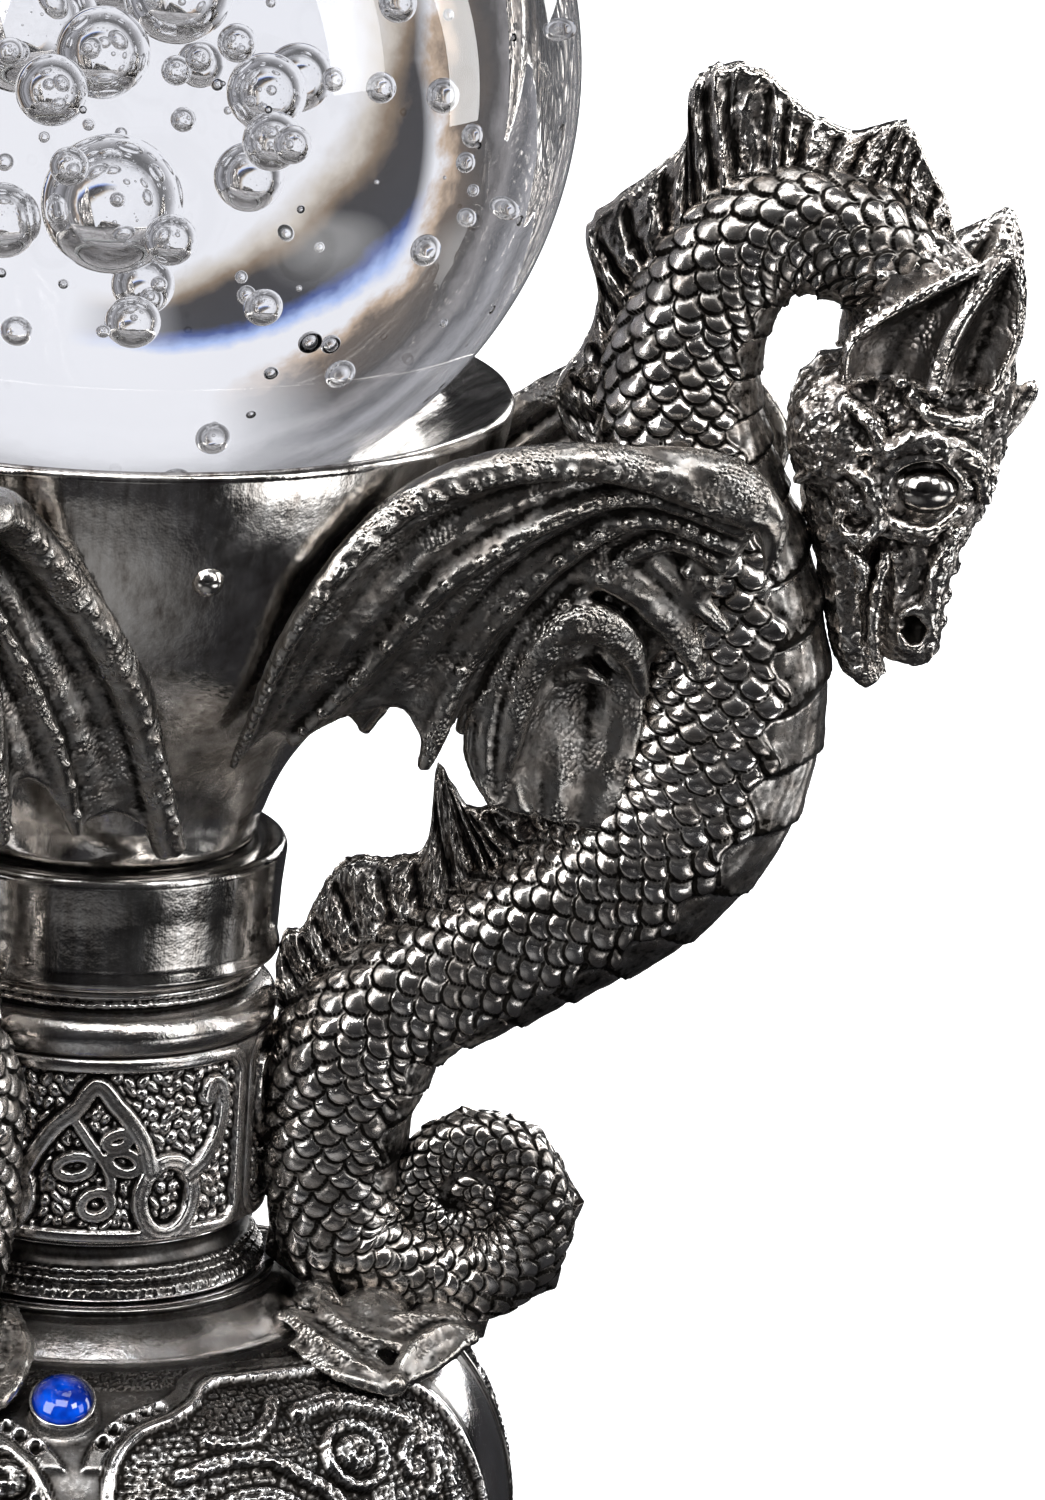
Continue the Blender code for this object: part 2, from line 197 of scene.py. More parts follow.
def sheet(grid, thickness):
    """Closed plate of the given thickness round a point grid."""
    offset = grid_normals(grid) * (thickness / 2)
    return plate(grid + offset, grid - offset)


def mirrored(part):
    points, faces = part
    return points * (1.0, -1.0, 1.0), [face[::-1] for face in faces]


def both_sides(part):
    return [part, mirrored(part)]


def join_parts(parts):
    """Stack several (points, faces) into one."""
    points, faces, start = [], [], 0
    for part_points, part_faces in parts:
        points.append(np.asarray(part_points, float))
        faces += [[start + i for i in face] for face in part_faces]
        start += len(part_points)
    return np.concatenate(points), faces


def fuse(name, parts, voxel, smoothing):
    """One closed skin round overlapping parts, by a voxel remesh and a light smoothing."""
    points, faces = join_parts(parts)
    rough = bpy.data.objects.new(name, new_mesh(name, points, faces))
    bpy.context.scene.collection.objects.link(rough)
    skin = rough.modifiers.new("skin", "REMESH")
    skin.mode = "VOXEL"
    skin.voxel_size = voxel * MM
    relax = rough.modifiers.new("relax", "SMOOTH")
    relax.factor = 0.5
    relax.iterations = smoothing
    graph = bpy.context.evaluated_depsgraph_get()
    mesh = bpy.data.meshes.new_from_object(rough.evaluated_get(graph))
    mesh.name = name
    bpy.data.objects.remove(rough, do_unlink=True)
    mesh.shade_smooth()
    return mesh


def push(mesh, heights):
    """Move each point along its normal by heights in millimetres."""
    points = mesh_points(mesh) + mesh_normals(mesh) * (np.asarray(heights) * MM)[:, None]
    mesh.vertices.foreach_set("co", points.ravel())
    mesh.update()


def hashed(i, j):
    """Repeatable random numbers from 0 to 1 for whole-number pairs."""
    return np.modf(np.abs(np.sin(i * 12.9898 + j * 78.233) * 43758.5453))[0]


def pebbles(x, y, pitch, spread):
    """Rounded grains on a jittered grid: 1 at a grain's top, 0 between grains."""
    x, y = np.asarray(x) / pitch, np.asarray(y) / pitch
    best = np.full(np.broadcast(x, y).shape, 9.0)
    for di in (-1, 0, 1):
        for dj in (-1, 0, 1):
            i, j = np.floor(x) + di, np.floor(y) + dj
            cx = i + 0.5 + spread * (hashed(i, j) - 0.5) + 0.25 * (j % 2)
            cy = j + 0.5 + spread * (hashed(i + 57, j) - 0.5)
            size = 0.46 + 0.16 * hashed(i, j + 31)
            best = np.minimum(best, np.hypot(x - cx, y - cy) / size)
    return np.sqrt(np.clip(1.0 - best ** 2, 0.0, 1.0))


def near_line(x, y, line, chunk=4000):
    """Distance from each point to a dense polyline."""
    line = np.asarray(line, float)
    flat_x, flat_y = np.ravel(x), np.ravel(y)
    result = np.empty(flat_x.shape)
    for start in range(0, len(flat_x), chunk):
        part = slice(start, start + chunk)
        gap = (flat_x[part, None] - line[:, 0]) ** 2 + (flat_y[part, None] - line[:, 1]) ** 2
        result[part] = gap.min(axis=1)
    return np.sqrt(result).reshape(np.shape(x))


def ridge(distance, width):
    """Rounded strap of half width `width`: 1 on its middle, 0 outside."""
    return np.sqrt(np.clip(1.0 - (distance / width) ** 2, 0.0, 1.0))


def soft_step(value, low, high):
    share = np.clip((value - low) / (high - low), 0.0, 1.0)
    return share * share * (3 - 2 * share)


def place(name, mesh, material, body="stand", nodes=(), turn=0.0):
    """Make a piece from a mesh, turn it about Z and tie it to its body."""
    if turn:
        mesh = mesh.copy()
        mesh.transform(Matrix.Rotation(math.radians(turn), 4, "Z"))
    if not mesh.materials:
        mesh.materials.append(material)
    piece = bpy.data.objects.new(name, mesh)
    bpy.context.scene.collection.objects.link(piece)
    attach(piece, body)
    if nodes:
        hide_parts(*nodes)
    return piece


# ---------------------------------------------------------------- materials

class Nodes:
    """Short way to write a material's node tree."""

    def __init__(self, name):
        self.material = bpy.data.materials.new(name)
        self.material.use_nodes = True
        self.tree = self.material.node_tree
        self.shader = self.tree.nodes["Principled BSDF"]

    def add(self, kind, inputs=None, **settings):
        node = self.tree.nodes.new(kind)
        for key, value in settings.items():
            setattr(node, key, value)
        for key, value in (inputs or {}).items():
            self.link(value, node.inputs[key])
        return node

    def link(self, value, socket):
        if isinstance(value, bpy.types.NodeSocket):
            self.tree.links.new(value, socket)
        else:
            socket.default_value = value

    def noise(self, scale, detail=4.0, roughness=0.55, stretch=(1.0, 1.0, 1.0)):
        place_node = self.add("ShaderNodeTexCoord")
        mapping = self.add("ShaderNodeMapping", {"Vector": place_node.outputs["Object"],
                                                 "Scale": stretch})
        texture = self.add("ShaderNodeTexNoise", {"Vector": mapping.outputs[0], "Scale": scale,
                                                  "Detail": detail, "Roughness": roughness})
        return texture.outputs["Fac"]

    def ramp(self, value, stops):
        node = self.add("ShaderNodeValToRGB", {"Fac": value})
        elements = node.color_ramp.elements
        while len(elements) < len(stops):
            elements.new(0.5)
        for element, (position, colour) in zip(elements, stops):
            element.position = position
            element.color = (*colour, 1.0) if len(colour) == 3 else colour
        return node.outputs["Color"]

    def math(self, operation, first, second=0.0):
        return self.add("ShaderNodeMath", {0: first, 1: second}, operation=operation).outputs[0]

    def centred(self, value, share):
        """A noise value's distance from its middle, times a share."""
        return self.math("MULTIPLY", self.math("SUBTRACT", value, 0.5), share)

    def remap(self, value, low, high, new_low, new_high):
        return self.add("ShaderNodeMapRange", {"Value": value, "From Min": low, "From Max": high,
                                               "To Min": new_low, "To Max": new_high}).outputs[0]

    def bump(self, height, distance, strength=1.0, normal=None):
        inputs = {"Height": height, "Distance": distance, "Strength": strength}
        if normal is not None:
            inputs["Normal"] = normal
        return self.add("ShaderNodeBump", inputs).outputs["Normal"]

    def set(self, **inputs):
        for key, value in inputs.items():
            self.link(value, self.shader.inputs[key.replace("_", " ")])
        return self.material


def pewter(name, bright, middle, dark, smooth=0.14, rough=0.5, grain=0.10, dark_at=0.26,
           mottle=0.4, granules=None, polish=None):
    """Plated metal, dark in the recesses and worn bright on the high points.  smooth and rough
    are the roughness there, grain the depth of the fine bumps in millimetres, granules the
    cell size of a cast grit in metres, polish the colour where the relief mark is full."""
    nodes = Nodes(name)
    relief = nodes.add("ShaderNodeAttribute", attribute_name="relief").outputs["Fac"]
    cloud = nodes.noise(160.0, 5.0, 0.6)
    speck = nodes.noise(1500.0, 4.0, 0.65)
    # The relief mark holds real wash and wear, and on the scaled body also painted shade and painted light.
    wear_and_shade = nodes.math("ADD", relief, nodes.centred(cloud, mottle))
    wear_and_shade = nodes.math("ADD", wear_and_shade, nodes.centred(speck, 0.35))
    stops = [(dark_at, dark), (0.50, middle), (0.78, bright)]
    colour = nodes.ramp(wear_and_shade, stops if polish is None else [*stops, (0.95, polish)])
    tint = nodes.ramp(nodes.noise(420.0, 3.0, 0.5),
                      [(0.35, (0.88, 0.83, 0.79)), (0.65, (1.0, 1.0, 1.0))])
    mixed = nodes.add("ShaderNodeMix", {0: 1.0, 6: colour, 7: tint},
                      data_type="RGBA", blend_type="MULTIPLY").outputs[2]
    roughness = nodes.remap(wear_and_shade, 0.25, 0.7, rough, smooth)
    roughness = nodes.math("ADD", roughness, nodes.centred(cloud, 0.2))
    metallic = nodes.remap(wear_and_shade, 0.15, 0.3, 0.8, 1.0)
    normal = nodes.bump(cloud, 0.5 * MM, 0.2)
    if granules is not None:
        spot = nodes.add("ShaderNodeTexCoord").outputs["Object"]
        cell = nodes.add("ShaderNodeTexVoronoi", {"Vector": spot, "Scale": 1.0 / granules})
        amount = nodes.remap(nodes.noise(150.0, 2.0), 0.38, 0.52, -1.0, 0.0)
        patchy = nodes.math("MULTIPLY", cell.outputs["Distance"], amount)
        normal = nodes.bump(patchy, 0.5 * granules, 0.8, normal)
    normal = nodes.bump(speck, grain * MM, 0.6, normal)
    return nodes.set(Base_Color=mixed, Roughness=roughness, Metallic=metallic, Normal=normal,
                     Specular_IOR_Level=0.2)


def polished_metal(name, lightness):
    """Smoother plated metal with faint brushed streaks and a few dull patches."""
    nodes = Nodes(name)
    streak = nodes.noise(60.0, 6.0, 0.7, (9.0, 9.0, 0.35))
    patch = nodes.noise(110.0, 5.0, 0.7)
    mottle = nodes.math("ADD", nodes.math("MULTIPLY", streak, 0.55), nodes.math("MULTIPLY", patch, 0.45))
    stops = [(0.34, (0.10, 0.085, 0.075)), (0.48, (0.30, 0.285, 0.27)), (0.66, (0.46, 0.45, 0.44))]
    colour = nodes.ramp(mottle, [(at, tuple(lightness * c for c in shade)) for at, shade in stops])
    roughness = nodes.remap(patch, 0.35, 0.7, 0.08, 0.26)
    ripple = nodes.bump(patch, 0.5 * MM, 0.3)
    fine = nodes.bump(streak, 0.08 * MM, 0.4, ripple)
    return nodes.set(Base_Color=colour, Roughness=roughness, Metallic=1.0, Normal=fine)


def clear_glass():
    nodes = Nodes("clear_glass")
    faint = nodes.ramp(nodes.noise(30.0, 2.0), [(0.4, (0.985, 0.99, 1.0)), (0.6, (1.0, 1.0, 1.0))])
    return nodes.set(Base_Color=faint, Roughness=0.0, IOR=1.5, Transmission_Weight=1.0)


def blue_glass():
    nodes = Nodes("blue_gem")
    # Painted light: the gem is painted a brighter blue where it faces the camera and near black towards its
    # rim, a painted glow and painted shade clouded by noise.
    rim = nodes.add("ShaderNodeLayerWeight", {"Blend": 0.35}).outputs["Facing"]
    painted_rim_shade = nodes.math("ADD", rim, nodes.math("MULTIPLY", nodes.noise(260.0, 3.0), 0.9))
    colour = nodes.ramp(painted_rim_shade, [(0.44, (0.0, 0.055, 0.48)), (0.62, (0.0, 0.014, 0.19)),
                                (0.9, (0.0, 0.003, 0.03))])
    return nodes.set(Base_Color=colour, Roughness=0.06, IOR=1.45, Transmission_Weight=0.2,
                     Coat_Weight=0.3, Coat_Roughness=0.02)


def felt():
    nodes = Nodes("felt")
    fuzz = nodes.noise(2500.0, 4.0, 0.7)
    colour = nodes.ramp(fuzz, [(0.3, (0.008, 0.008, 0.009)), (0.7, (0.035, 0.035, 0.037))])
    return nodes.set(Base_Color=colour, Roughness=0.95, Sheen_Weight=0.4,
                     Normal=nodes.bump(fuzz, 0.3 * MM))


def soft_ring():
    nodes = Nodes("soft_ring")
    cloud = nodes.noise(300.0, 4.0)
    colour = nodes.ramp(cloud, [(0.3, (0.42, 0.42, 0.41)), (0.7, (0.6, 0.6, 0.58))])
    return nodes.set(Base_Color=colour, Roughness=0.5, Normal=nodes.bump(cloud, 0.05 * MM))


RECESS = (0.008, 0.007, 0.006)
SCALE_METAL = pewter("scale_pewter", (0.93, 0.905, 0.88), (0.36, 0.345, 0.33), RECESS,
                     rough=0.45, grain=0.05, dark_at=0.34)
DRAGON_METAL = pewter("antique_pewter", (0.64, 0.62, 0.595), (0.25, 0.235, 0.225), RECESS,
                      smooth=0.13, granules=0.8 * MM)
RELIEF_METAL = pewter("relief_pewter", (0.70, 0.69, 0.68), (0.30, 0.29, 0.285), RECESS,
                      smooth=0.12, rough=0.45)
BASE_METAL = pewter("base_pewter", (0.27, 0.267, 0.263), (0.085, 0.082, 0.08), (0.006, 0.005, 0.004),
                    grain=0.06, polish=(0.75, 0.75, 0.77))
WING_METAL = pewter("wing_pewter", (0.33, 0.32, 0.305), (0.25, 0.24, 0.23), RECESS,
                    smooth=0.22, grain=0.09, dark_at=0.24, mottle=0.25, granules=0.6 * MM)
POLISHED = polished_metal("polished_pewter", 1.0)
CUP_METAL = polished_metal("cup_pewter", 1.75)
GLASS = clear_glass()
GEM = blue_glass()
FELT = felt()
RING = soft_ring()


# ---------------------------------------------------------------- turned pieces

def span(node):
    """Lowest and highest corner of a CAD node in millimetres."""
    low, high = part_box(node)
    return np.array(low) / MM, np.array(high) / MM


def turned(profile, steps, lift=None):
    """Points and faces of a turned outline.  An outline that starts and ends on the axis
    is capped there; any other closes on itself.  lift(angle, index) pushes points out."""
    profile = np.asarray(profile, float)
    capped = profile[0, 0] == 0.0
    body = profile[1:-1] if capped else profile
    angle = np.arange(steps) * TAU / steps
    grid = np.stack([np.outer(body[:, 0], np.cos(angle)), np.outer(body[:, 0], np.sin(angle)),
                     np.repeat(body[:, 1:2], steps, 1)], axis=-1)
    if lift is not None:
        tangent = np.gradient(body, axis=0)
        out = np.stack([-tangent[:, 1], tangent[:, 0]], axis=1)
        out /= np.maximum(np.linalg.norm(out, axis=1, keepdims=True), 1e-9)
        height = lift(angle[None, :], np.arange(len(body))[:, None])
        grid[..., 0] += height * out[:, 0:1] * np.cos(angle)
        grid[..., 1] += height * out[:, 0:1] * np.sin(angle)
        grid[..., 2] += height * out[:, 1:2]
    points = grid.reshape(-1, 3)
    if capped:
        points = np.concatenate([points, [[0, 0, profile[0, 1]], [0, 0, profile[-1, 1]]]])
        faces = capped_faces(len(body), steps)
    else:
        faces = grid_faces(len(body), steps, wrap_rows=True, wrap_columns=True).tolist()
    return points, [face[::-1] for face in faces]


def rounded(corners, radius=0.5, steps=4):
    """Outline with each inner corner replaced by a small arc."""
    corners = [np.asarray(c, float) for c in corners]
    result = [corners[0]]
    for before, corner, after in zip(corners, corners[1:], corners[2:]):
        back, ahead = before - corner, after - corner
        reach = min(radius, 0.45 * np.linalg.norm(back), 0.45 * np.linalg.norm(ahead))
        start = corner + back / np.linalg.norm(back) * reach
        end = corner + ahead / np.linalg.norm(ahead) * reach
        for k in range(steps + 1):
            s = k / steps
            result.append((1 - s) ** 2 * start + 2 * s * (1 - s) * corner + s ** 2 * end)
    result.append(corners[-1])
    return np.array(result)


def dense(profile, pitch):
    """Outline resampled to an even pitch."""
    profile = np.asarray(profile, float)
    length = np.concatenate([[0.0], np.cumsum(np.linalg.norm(np.diff(profile, axis=0), axis=1))])
    count = max(2, int(round(length[-1] / pitch)) + 1)
    places = np.linspace(0.0, length[-1], count)
    return np.stack([np.interp(places, length, profile[:, k]) for k in range(2)], axis=1)


def turned_piece(name, profile, material, node, steps, lift=None):
    mesh = new_mesh(name, *turned(profile, steps, lift))
    mark_relief(mesh)
    return place(name, mesh, material, nodes=(node,))


def build_pad():
    _, high = span("felt_pad")
    r, top = high[0], high[2]
    profile = rounded([(0, top), (r, top), (r, 0.0), (0, 0.0)], 0.4)
    mesh = new_mesh("felt_disc", *turned(profile, 120))
    place("felt_disc", mesh, FELT, nodes=("felt_pad",))


RIM_BEADS = (-71.2, 48.8, 168.8)      # degrees round the cup, one by each dragon
RIM_BEAD = 1.9


def build_cup():
    """Flared polished cup: dished seat inside, smooth swelling outside, folded foot."""
    low, high = span("cup")
    rim, top, foot = high[0], high[2], low[2]
    outside = spline([(rim, top - 0.9), (43.6, 149.5), (41.2, 141.5), (36.4, 131.5), (29.0, 121.5),
                      (21.8, 113.0), (18.2, 106.6), (17.6, 103.0)], np.linspace(0, 7, 56))
    inside = [(rim - 0.5, top), (rim - 1.3, top - 0.2), (38.0, 151.6), (34.0, 148.6), (28.5, 142.9),
              (24.2, 141.2), (22.2, 138.2), (0, 134.2)]
    stem = [(17.4, 102.2), (15.9, 101.7), (15.9, foot), (0, foot)]
    upper = rounded(inside[::-1], 0.7)
    profile = np.concatenate([upper, outside, rounded(stem, 0.3)])

    def lift(angle, index):
        z = profile[1:-1, 1][index]
        r = profile[1:-1, 0][index]
        outer = (index > len(upper)) & (z > 103.0) & (z < 130.0)
        fold = np.clip((126.0 - z) / 20.0, 0.0, 1.0) * np.clip((z - 103.0) / 4.0, 0.0, 1.0)
        return np.where(outer, 0.9 * fold * np.sin(6 * angle + 0.15 * z) * (r > 16.5), 0.0)

    parts = [turned(profile, 240, lift)]
    for azimuth in RIM_BEADS:
        turn = math.radians(azimuth)
        centre = (40.6 * math.cos(turn), 40.6 * math.sin(turn), 141.6)
        parts.append(ellipsoid(centre, (RIM_BEAD,) * 3, 18, 24))
    mesh = new_mesh("polished_cup", *join_parts(parts))
    place("polished_cup", mesh, CUP_METAL, nodes=("cup",))


def build_collar():
    low, high = span("collar")
    r, top, bottom = high[0], high[2], low[2]
    profile = [(16.4, top - 0.5), (r - 2.2, top), (r - 0.5, top), (r, top - 0.9),
               (r - 0.5, top - 5.5), (r - 0.8, bottom + 2.4), (r - 0.4, bottom + 0.8),
               (r - 1.0, bottom), (16.4, bottom)]
    profile = rounded([*profile, profile[0]], 0.5)[:-1]
    turned_piece("polished_collar", profile, POLISHED, "collar", 180)


DRUM_RADIUS = 20.2
PANEL_AZIMUTH = -116.0    # middle of one of the drum's two panels, degrees
PANEL_HEIGHT = 70.3       # middle of the panels above the floor


def strap_lines():
    """Middle lines of the strapwork, x round the drum from the panel's centre, y up."""
    turn = np.linspace(0, TAU, 90)
    ring = np.stack([3.6 * np.cos(turn), -5.9 + 4.2 * np.sin(turn)], axis=1)
    slant = np.stack([20.0 + 3.3 * np.cos(turn) - 0.5 * np.sin(turn),
                      -6.1 + 4.2 * np.sin(turn) + 0.8 * np.cos(turn)], axis=1)
    vee = curve([(3.2, -3.0), (4.6, -0.4), (6.6, 2.4), (9.0, 4.6), (11.2, 7.4), (13.4, 5.2),
                 (15.6, 2.6), (17.0, 0.2), (17.8, -2.6)], 140)
    hook = curve([(22.6, -3.6), (24.8, -2.2), (26.8, 0.6), (27.4, 3.4), (27.0, 6.0), (25.6, 6.6),
                  (25.0, 5.0)], 80)
    bar = curve([(8.6, 3.6), (10.4, 1.0), (12.0, -1.2), (13.2, -3.6), (13.0, -6.0)], 60)
    loops = [np.stack([x + a * np.cos(turn) + lean * np.sin(turn), y + b * np.sin(turn)], axis=1)
             for x, y, a, b, lean in ((8.9, -2.2, 1.9, 1.25, 0.5), (14.6, -1.6, 1.7, 1.3, -0.5),
                                      (11.6, -6.6, 1.7, 1.5, 0.3), (13.8, 1.0, 1.3, 0.9, 0.5))]
    return {"strap": [ring, slant, vee, hook], "cord": [bar, *loops]}


def drum_relief(x, y):
    """Height of the drum's decoration at x round from a panel's middle and y up."""
    x = np.abs(x)
    half_width, half_height, corner = 30.6, 10.2, 3.0
    over_x, over_y = x - half_width + corner, np.abs(y + 0.4) - half_height + corner
    edge = np.hypot(np.clip(over_x, 0, None), np.clip(over_y, 0, None)) - corner
    edge = np.where(np.maximum(over_x, over_y) < 0, np.maximum(over_x, over_y) - corner, edge)
    grains = pebbles(x + 0.4 * np.sin(y), y + 0.3 * np.sin(1.7 * x), 1.45, 0.5)
    inside = soft_step(-edge, 0.0, 0.35)
    height = inside * (-0.95 + 0.62 * grains)
    height = np.maximum(height, np.where(np.abs(edge) < 0.9, 0.25 * ridge(np.abs(edge), 0.9), -9.0))
    lines = strap_lines()
    for kind, width, rise in (("cord", 0.62, 0.02), ("strap", 0.95, 0.14)):
        for line in lines[kind]:
            gap = near_line(x, y, line)
            strap = rise + 0.14 * ridge(gap, width) - 0.05 * np.exp(-(gap / 0.25) ** 2)
            share = soft_step(width + 0.12 - gap, 0.0, 0.22) * inside
            height = height * (1 - share) + strap * share
            moat = np.exp(-((gap - width - 0.3) / 0.25) ** 2) * inside * (gap > width)
            height = height - 0.25 * moat * (height < 0)
    return height


def build_drum():
    low, high = span("column_drum")
    top, bottom = high[2], low[2]
    side = [(20.2, 80.6), (20.3, 79.0), (20.2, 70.0), (20.1, 59.4)]
    shoulder = [(0, top), (18.4, top), (19.0, top - 0.6), (18.3, top - 1.2), (18.9, top - 1.7),
                (18.1, top - 2.2)]
    swell = curve([(18.2, top - 2.4), (19.9, top - 3.4), (20.7, top - 5.0), (20.5, top - 6.6),
                   (20.0, top - 7.4)], 22)
    foot = rounded([side[-1], (19.6, bottom + 0.2), (19.0, bottom), (0, bottom)], 0.3)
    panel = dense(spline(side, np.linspace(0, 3, 20)), 0.18)
    profile = np.concatenate([rounded(shoulder, 0.35), swell, panel, foot[1:]])
    z = profile[1:-1, 1]

    def lift(angle, index):
        turn = (np.degrees(angle) - PANEL_AZIMUTH + 90.0) % 180.0 - 90.0
        x, y = np.broadcast_arrays(np.radians(turn) * DRUM_RADIUS, z[index] - PANEL_HEIGHT)
        band = (z[index] < 80.7) & (z[index] > 59.3)
        grit = (z[index] > top - 2.4) & (z[index] < top - 0.8)
        return np.where(band, drum_relief(x, y), 0.10 * grit * pebbles(x, y, 0.7, 0.7))

    turned_piece("relief_drum", profile, RELIEF_METAL, "column_drum", 720, lift)


def build_waist():
    low, high = span("waist_ring")
    top, bottom = high[2], low[2]
    flare = [(0, top), (18.8, top), (18.0, top - 0.5), (17.9, top - 1.6), (18.6, top - 2.6),
             (19.3, top - 3.0), (18.8, top - 3.4), (19.7, top - 3.9), (19.2, top - 4.4),
             (20.2, top - 4.9), (20.3, top - 5.6), (20.6, bottom + 0.3), (20.3, bottom), (0, bottom)]
    profile = rounded(flare, 0.3)
    profile = np.concatenate([profile[:1], dense(profile[1:-1], 0.22), profile[-1:]])
    z, r = profile[1:-1, 1], profile[1:-1, 0]

    def lift(angle, index):
        gritty = (z[index] < top - 2.7) & (z[index] > bottom + 0.4) & (r[index] > 18.0)
        x, y = np.broadcast_arrays(angle * 20.0, z[index])
        return np.where(gritty, 0.17 * pebbles(x, y, 0.75, 0.8), 0.0)

    turned_piece("waist_mouldings", profile, BASE_METAL, "waist_ring", 720, lift)


# ---------------------------------------------------------------- domed base

BASE_SECTOR = 120.0       # degrees after which the arches repeat
WIDE_ARCH = -53.5         # degrees round the column to a wide arch's middle
DOME_STEP = 0.30
DOME_RADIUS = 40.0        # where degrees round the dome are taken as millimetres
GEM_TURN = -35.3          # degrees round from the wide arch's middle
GEM_REACH = 10.6          # down the dome from its band
GEM_TILT = 34.0           # degrees outwards from level
HOLE_PITCH = 1.95


def sector_turn(angle):
    """Degrees round from the nearest wide arch's middle, -45 up to 75."""
    return (np.degrees(angle) - WIDE_ARCH + 45.0) % BASE_SECTOR - 45.0


def arch_lines():
    """Borders of the arches, degrees round from the wide arch's middle against reach."""
    wide = curve([(-27.8, 40.0), (-28.2, 26.0), (-28.0, 20.0), (-26.6, 16.2), (-22.8, 13.0),
                  (-16.5, 11.0), (-11.6, 8.6), (-8.6, 6.2), (-4.0, 5.0), (4.0, 5.4), (14.0, 6.6),
                  (22.0, 8.2), (30.0, 11.6), (35.0, 17.5), (37.0, 26.0), (38.4, 40.0)], 260)
    narrow = curve([(54.0, 40.0), (55.0, 26.0), (57.0, 19.0), (61.0, 15.0), (65.0, 13.6), (70.0, 13.8),
                    (76.0, 15.4), (81.0, 18.4), (84.0, 23.0), (86.0, 30.0), (87.0, 40.0)], 200)
    return wide, narrow


def arch_paths(x, scale):
    """The arches' borders that come near the points at x, as x against reach."""
    paths = []
    for line in arch_lines():
        for around in (-BASE_SECTOR, 0.0, BASE_SECTOR):
            path = np.stack([(line[:, 0] + around) * scale, line[:, 1]], axis=1)
            if path[:, 0].max() > x.min() - 6 and path[:, 0].min() < x.max() + 6:
                paths.append(path)
    return paths


def signed_gap(x, reach, path):
    """Distance to an arch's border, negative inside the arch."""
    gap = near_line(x, reach, path)
    crown = np.interp(x, path[:, 0], path[:, 1], left=99.0, right=99.0)
    return np.where(reach > crown, -gap, gap)


def drill_holes(height, x, reach, path, nearest, gem_x):
    """Round holes in the strip along an arch's border, beside a gem."""
    length = np.concatenate([[0.0], np.cumsum(np.linalg.norm(np.diff(path, axis=0), axis=1))])
    for place_at in np.arange(1.0, length[-1], HOLE_PITCH):
        k = int(np.searchsorted(length, place_at))
        tangent = path[min(k + 1, len(path) - 1)] - path[max(k - 1, 0)]
        hole = path[k] + np.array((tangent[1], -tangent[0])) / np.linalg.norm(tangent) * 1.9
        if path[k, 1] < 17.5 and abs(hole[0] - gem_x) < 13.0:
            gap = np.hypot(x - hole[0], reach - hole[1])
            height = height - 1.4 * soft_step(0.88 - gap, 0.0, 0.3) * (nearest > 0.9)
    return height


def base_relief(turn, reach):
    """Height of the dome's decoration.  turn is degrees round from the wide arch's middle,
    within a sector of 120 degrees, and reach is millimetres down the dome from its band."""
    scale = math.radians(1.0) * DOME_RADIUS
    x = turn * scale
    gem_x = GEM_TURN * scale
    fine = pebbles(x, reach, 0.62, 0.6)
    plain = soft_step(np.minimum(turn - 33.0, 58.0 - turn), 0.0, 2.0)
    height = 0.17 * fine * soft_step(reach, 1.6, 2.2) * soft_step(6.4 - reach, 0.0, 0.8) * (1 - plain)
    paths = arch_paths(x, scale)
    sides = [signed_gap(x, reach, path) for path in paths]
    nearest = np.min(sides, axis=0)
    strip = soft_step(nearest, 0.7, 1.0) * soft_step(3.1 - nearest, 0.0, 0.4)
    strip = strip * soft_step(19.0 - reach, 0.0, 1.0)
    strip = strip * soft_step(reach, 2.0, 2.6) * soft_step(32.0 - turn, 0.0, 2.0)
    height = height * (1 - strip) + 0.3 * strip
    for path, side in zip(paths, sides):
        sunk = soft_step(-side, 0.2, 0.9)
        middle = (path[0, 0] + path[-1, 0]) / 2
        relief = -0.9 + 0.38 * pebbles(x, reach, 0.95, 0.5) + panel_scrolls(x - middle, reach)
        height = height * (1 - sunk) + relief * sunk
        border = np.where(np.abs(side) < 0.7, 0.45 * ridge(np.abs(side), 0.7), -9)
        height = np.maximum(height, border)
        height = drill_holes(height, x, reach, path, nearest, gem_x)
    gem = np.hypot(x - gem_x, reach - GEM_REACH)
    pad = soft_step(4.7 - gem, 0.0, 0.8)
    height = height * (1 - pad) + 0.3 * pad
    return height * soft_step(reach, 0.0, 1.2) * soft_step(44.0 - reach, 0.0, 3.0)


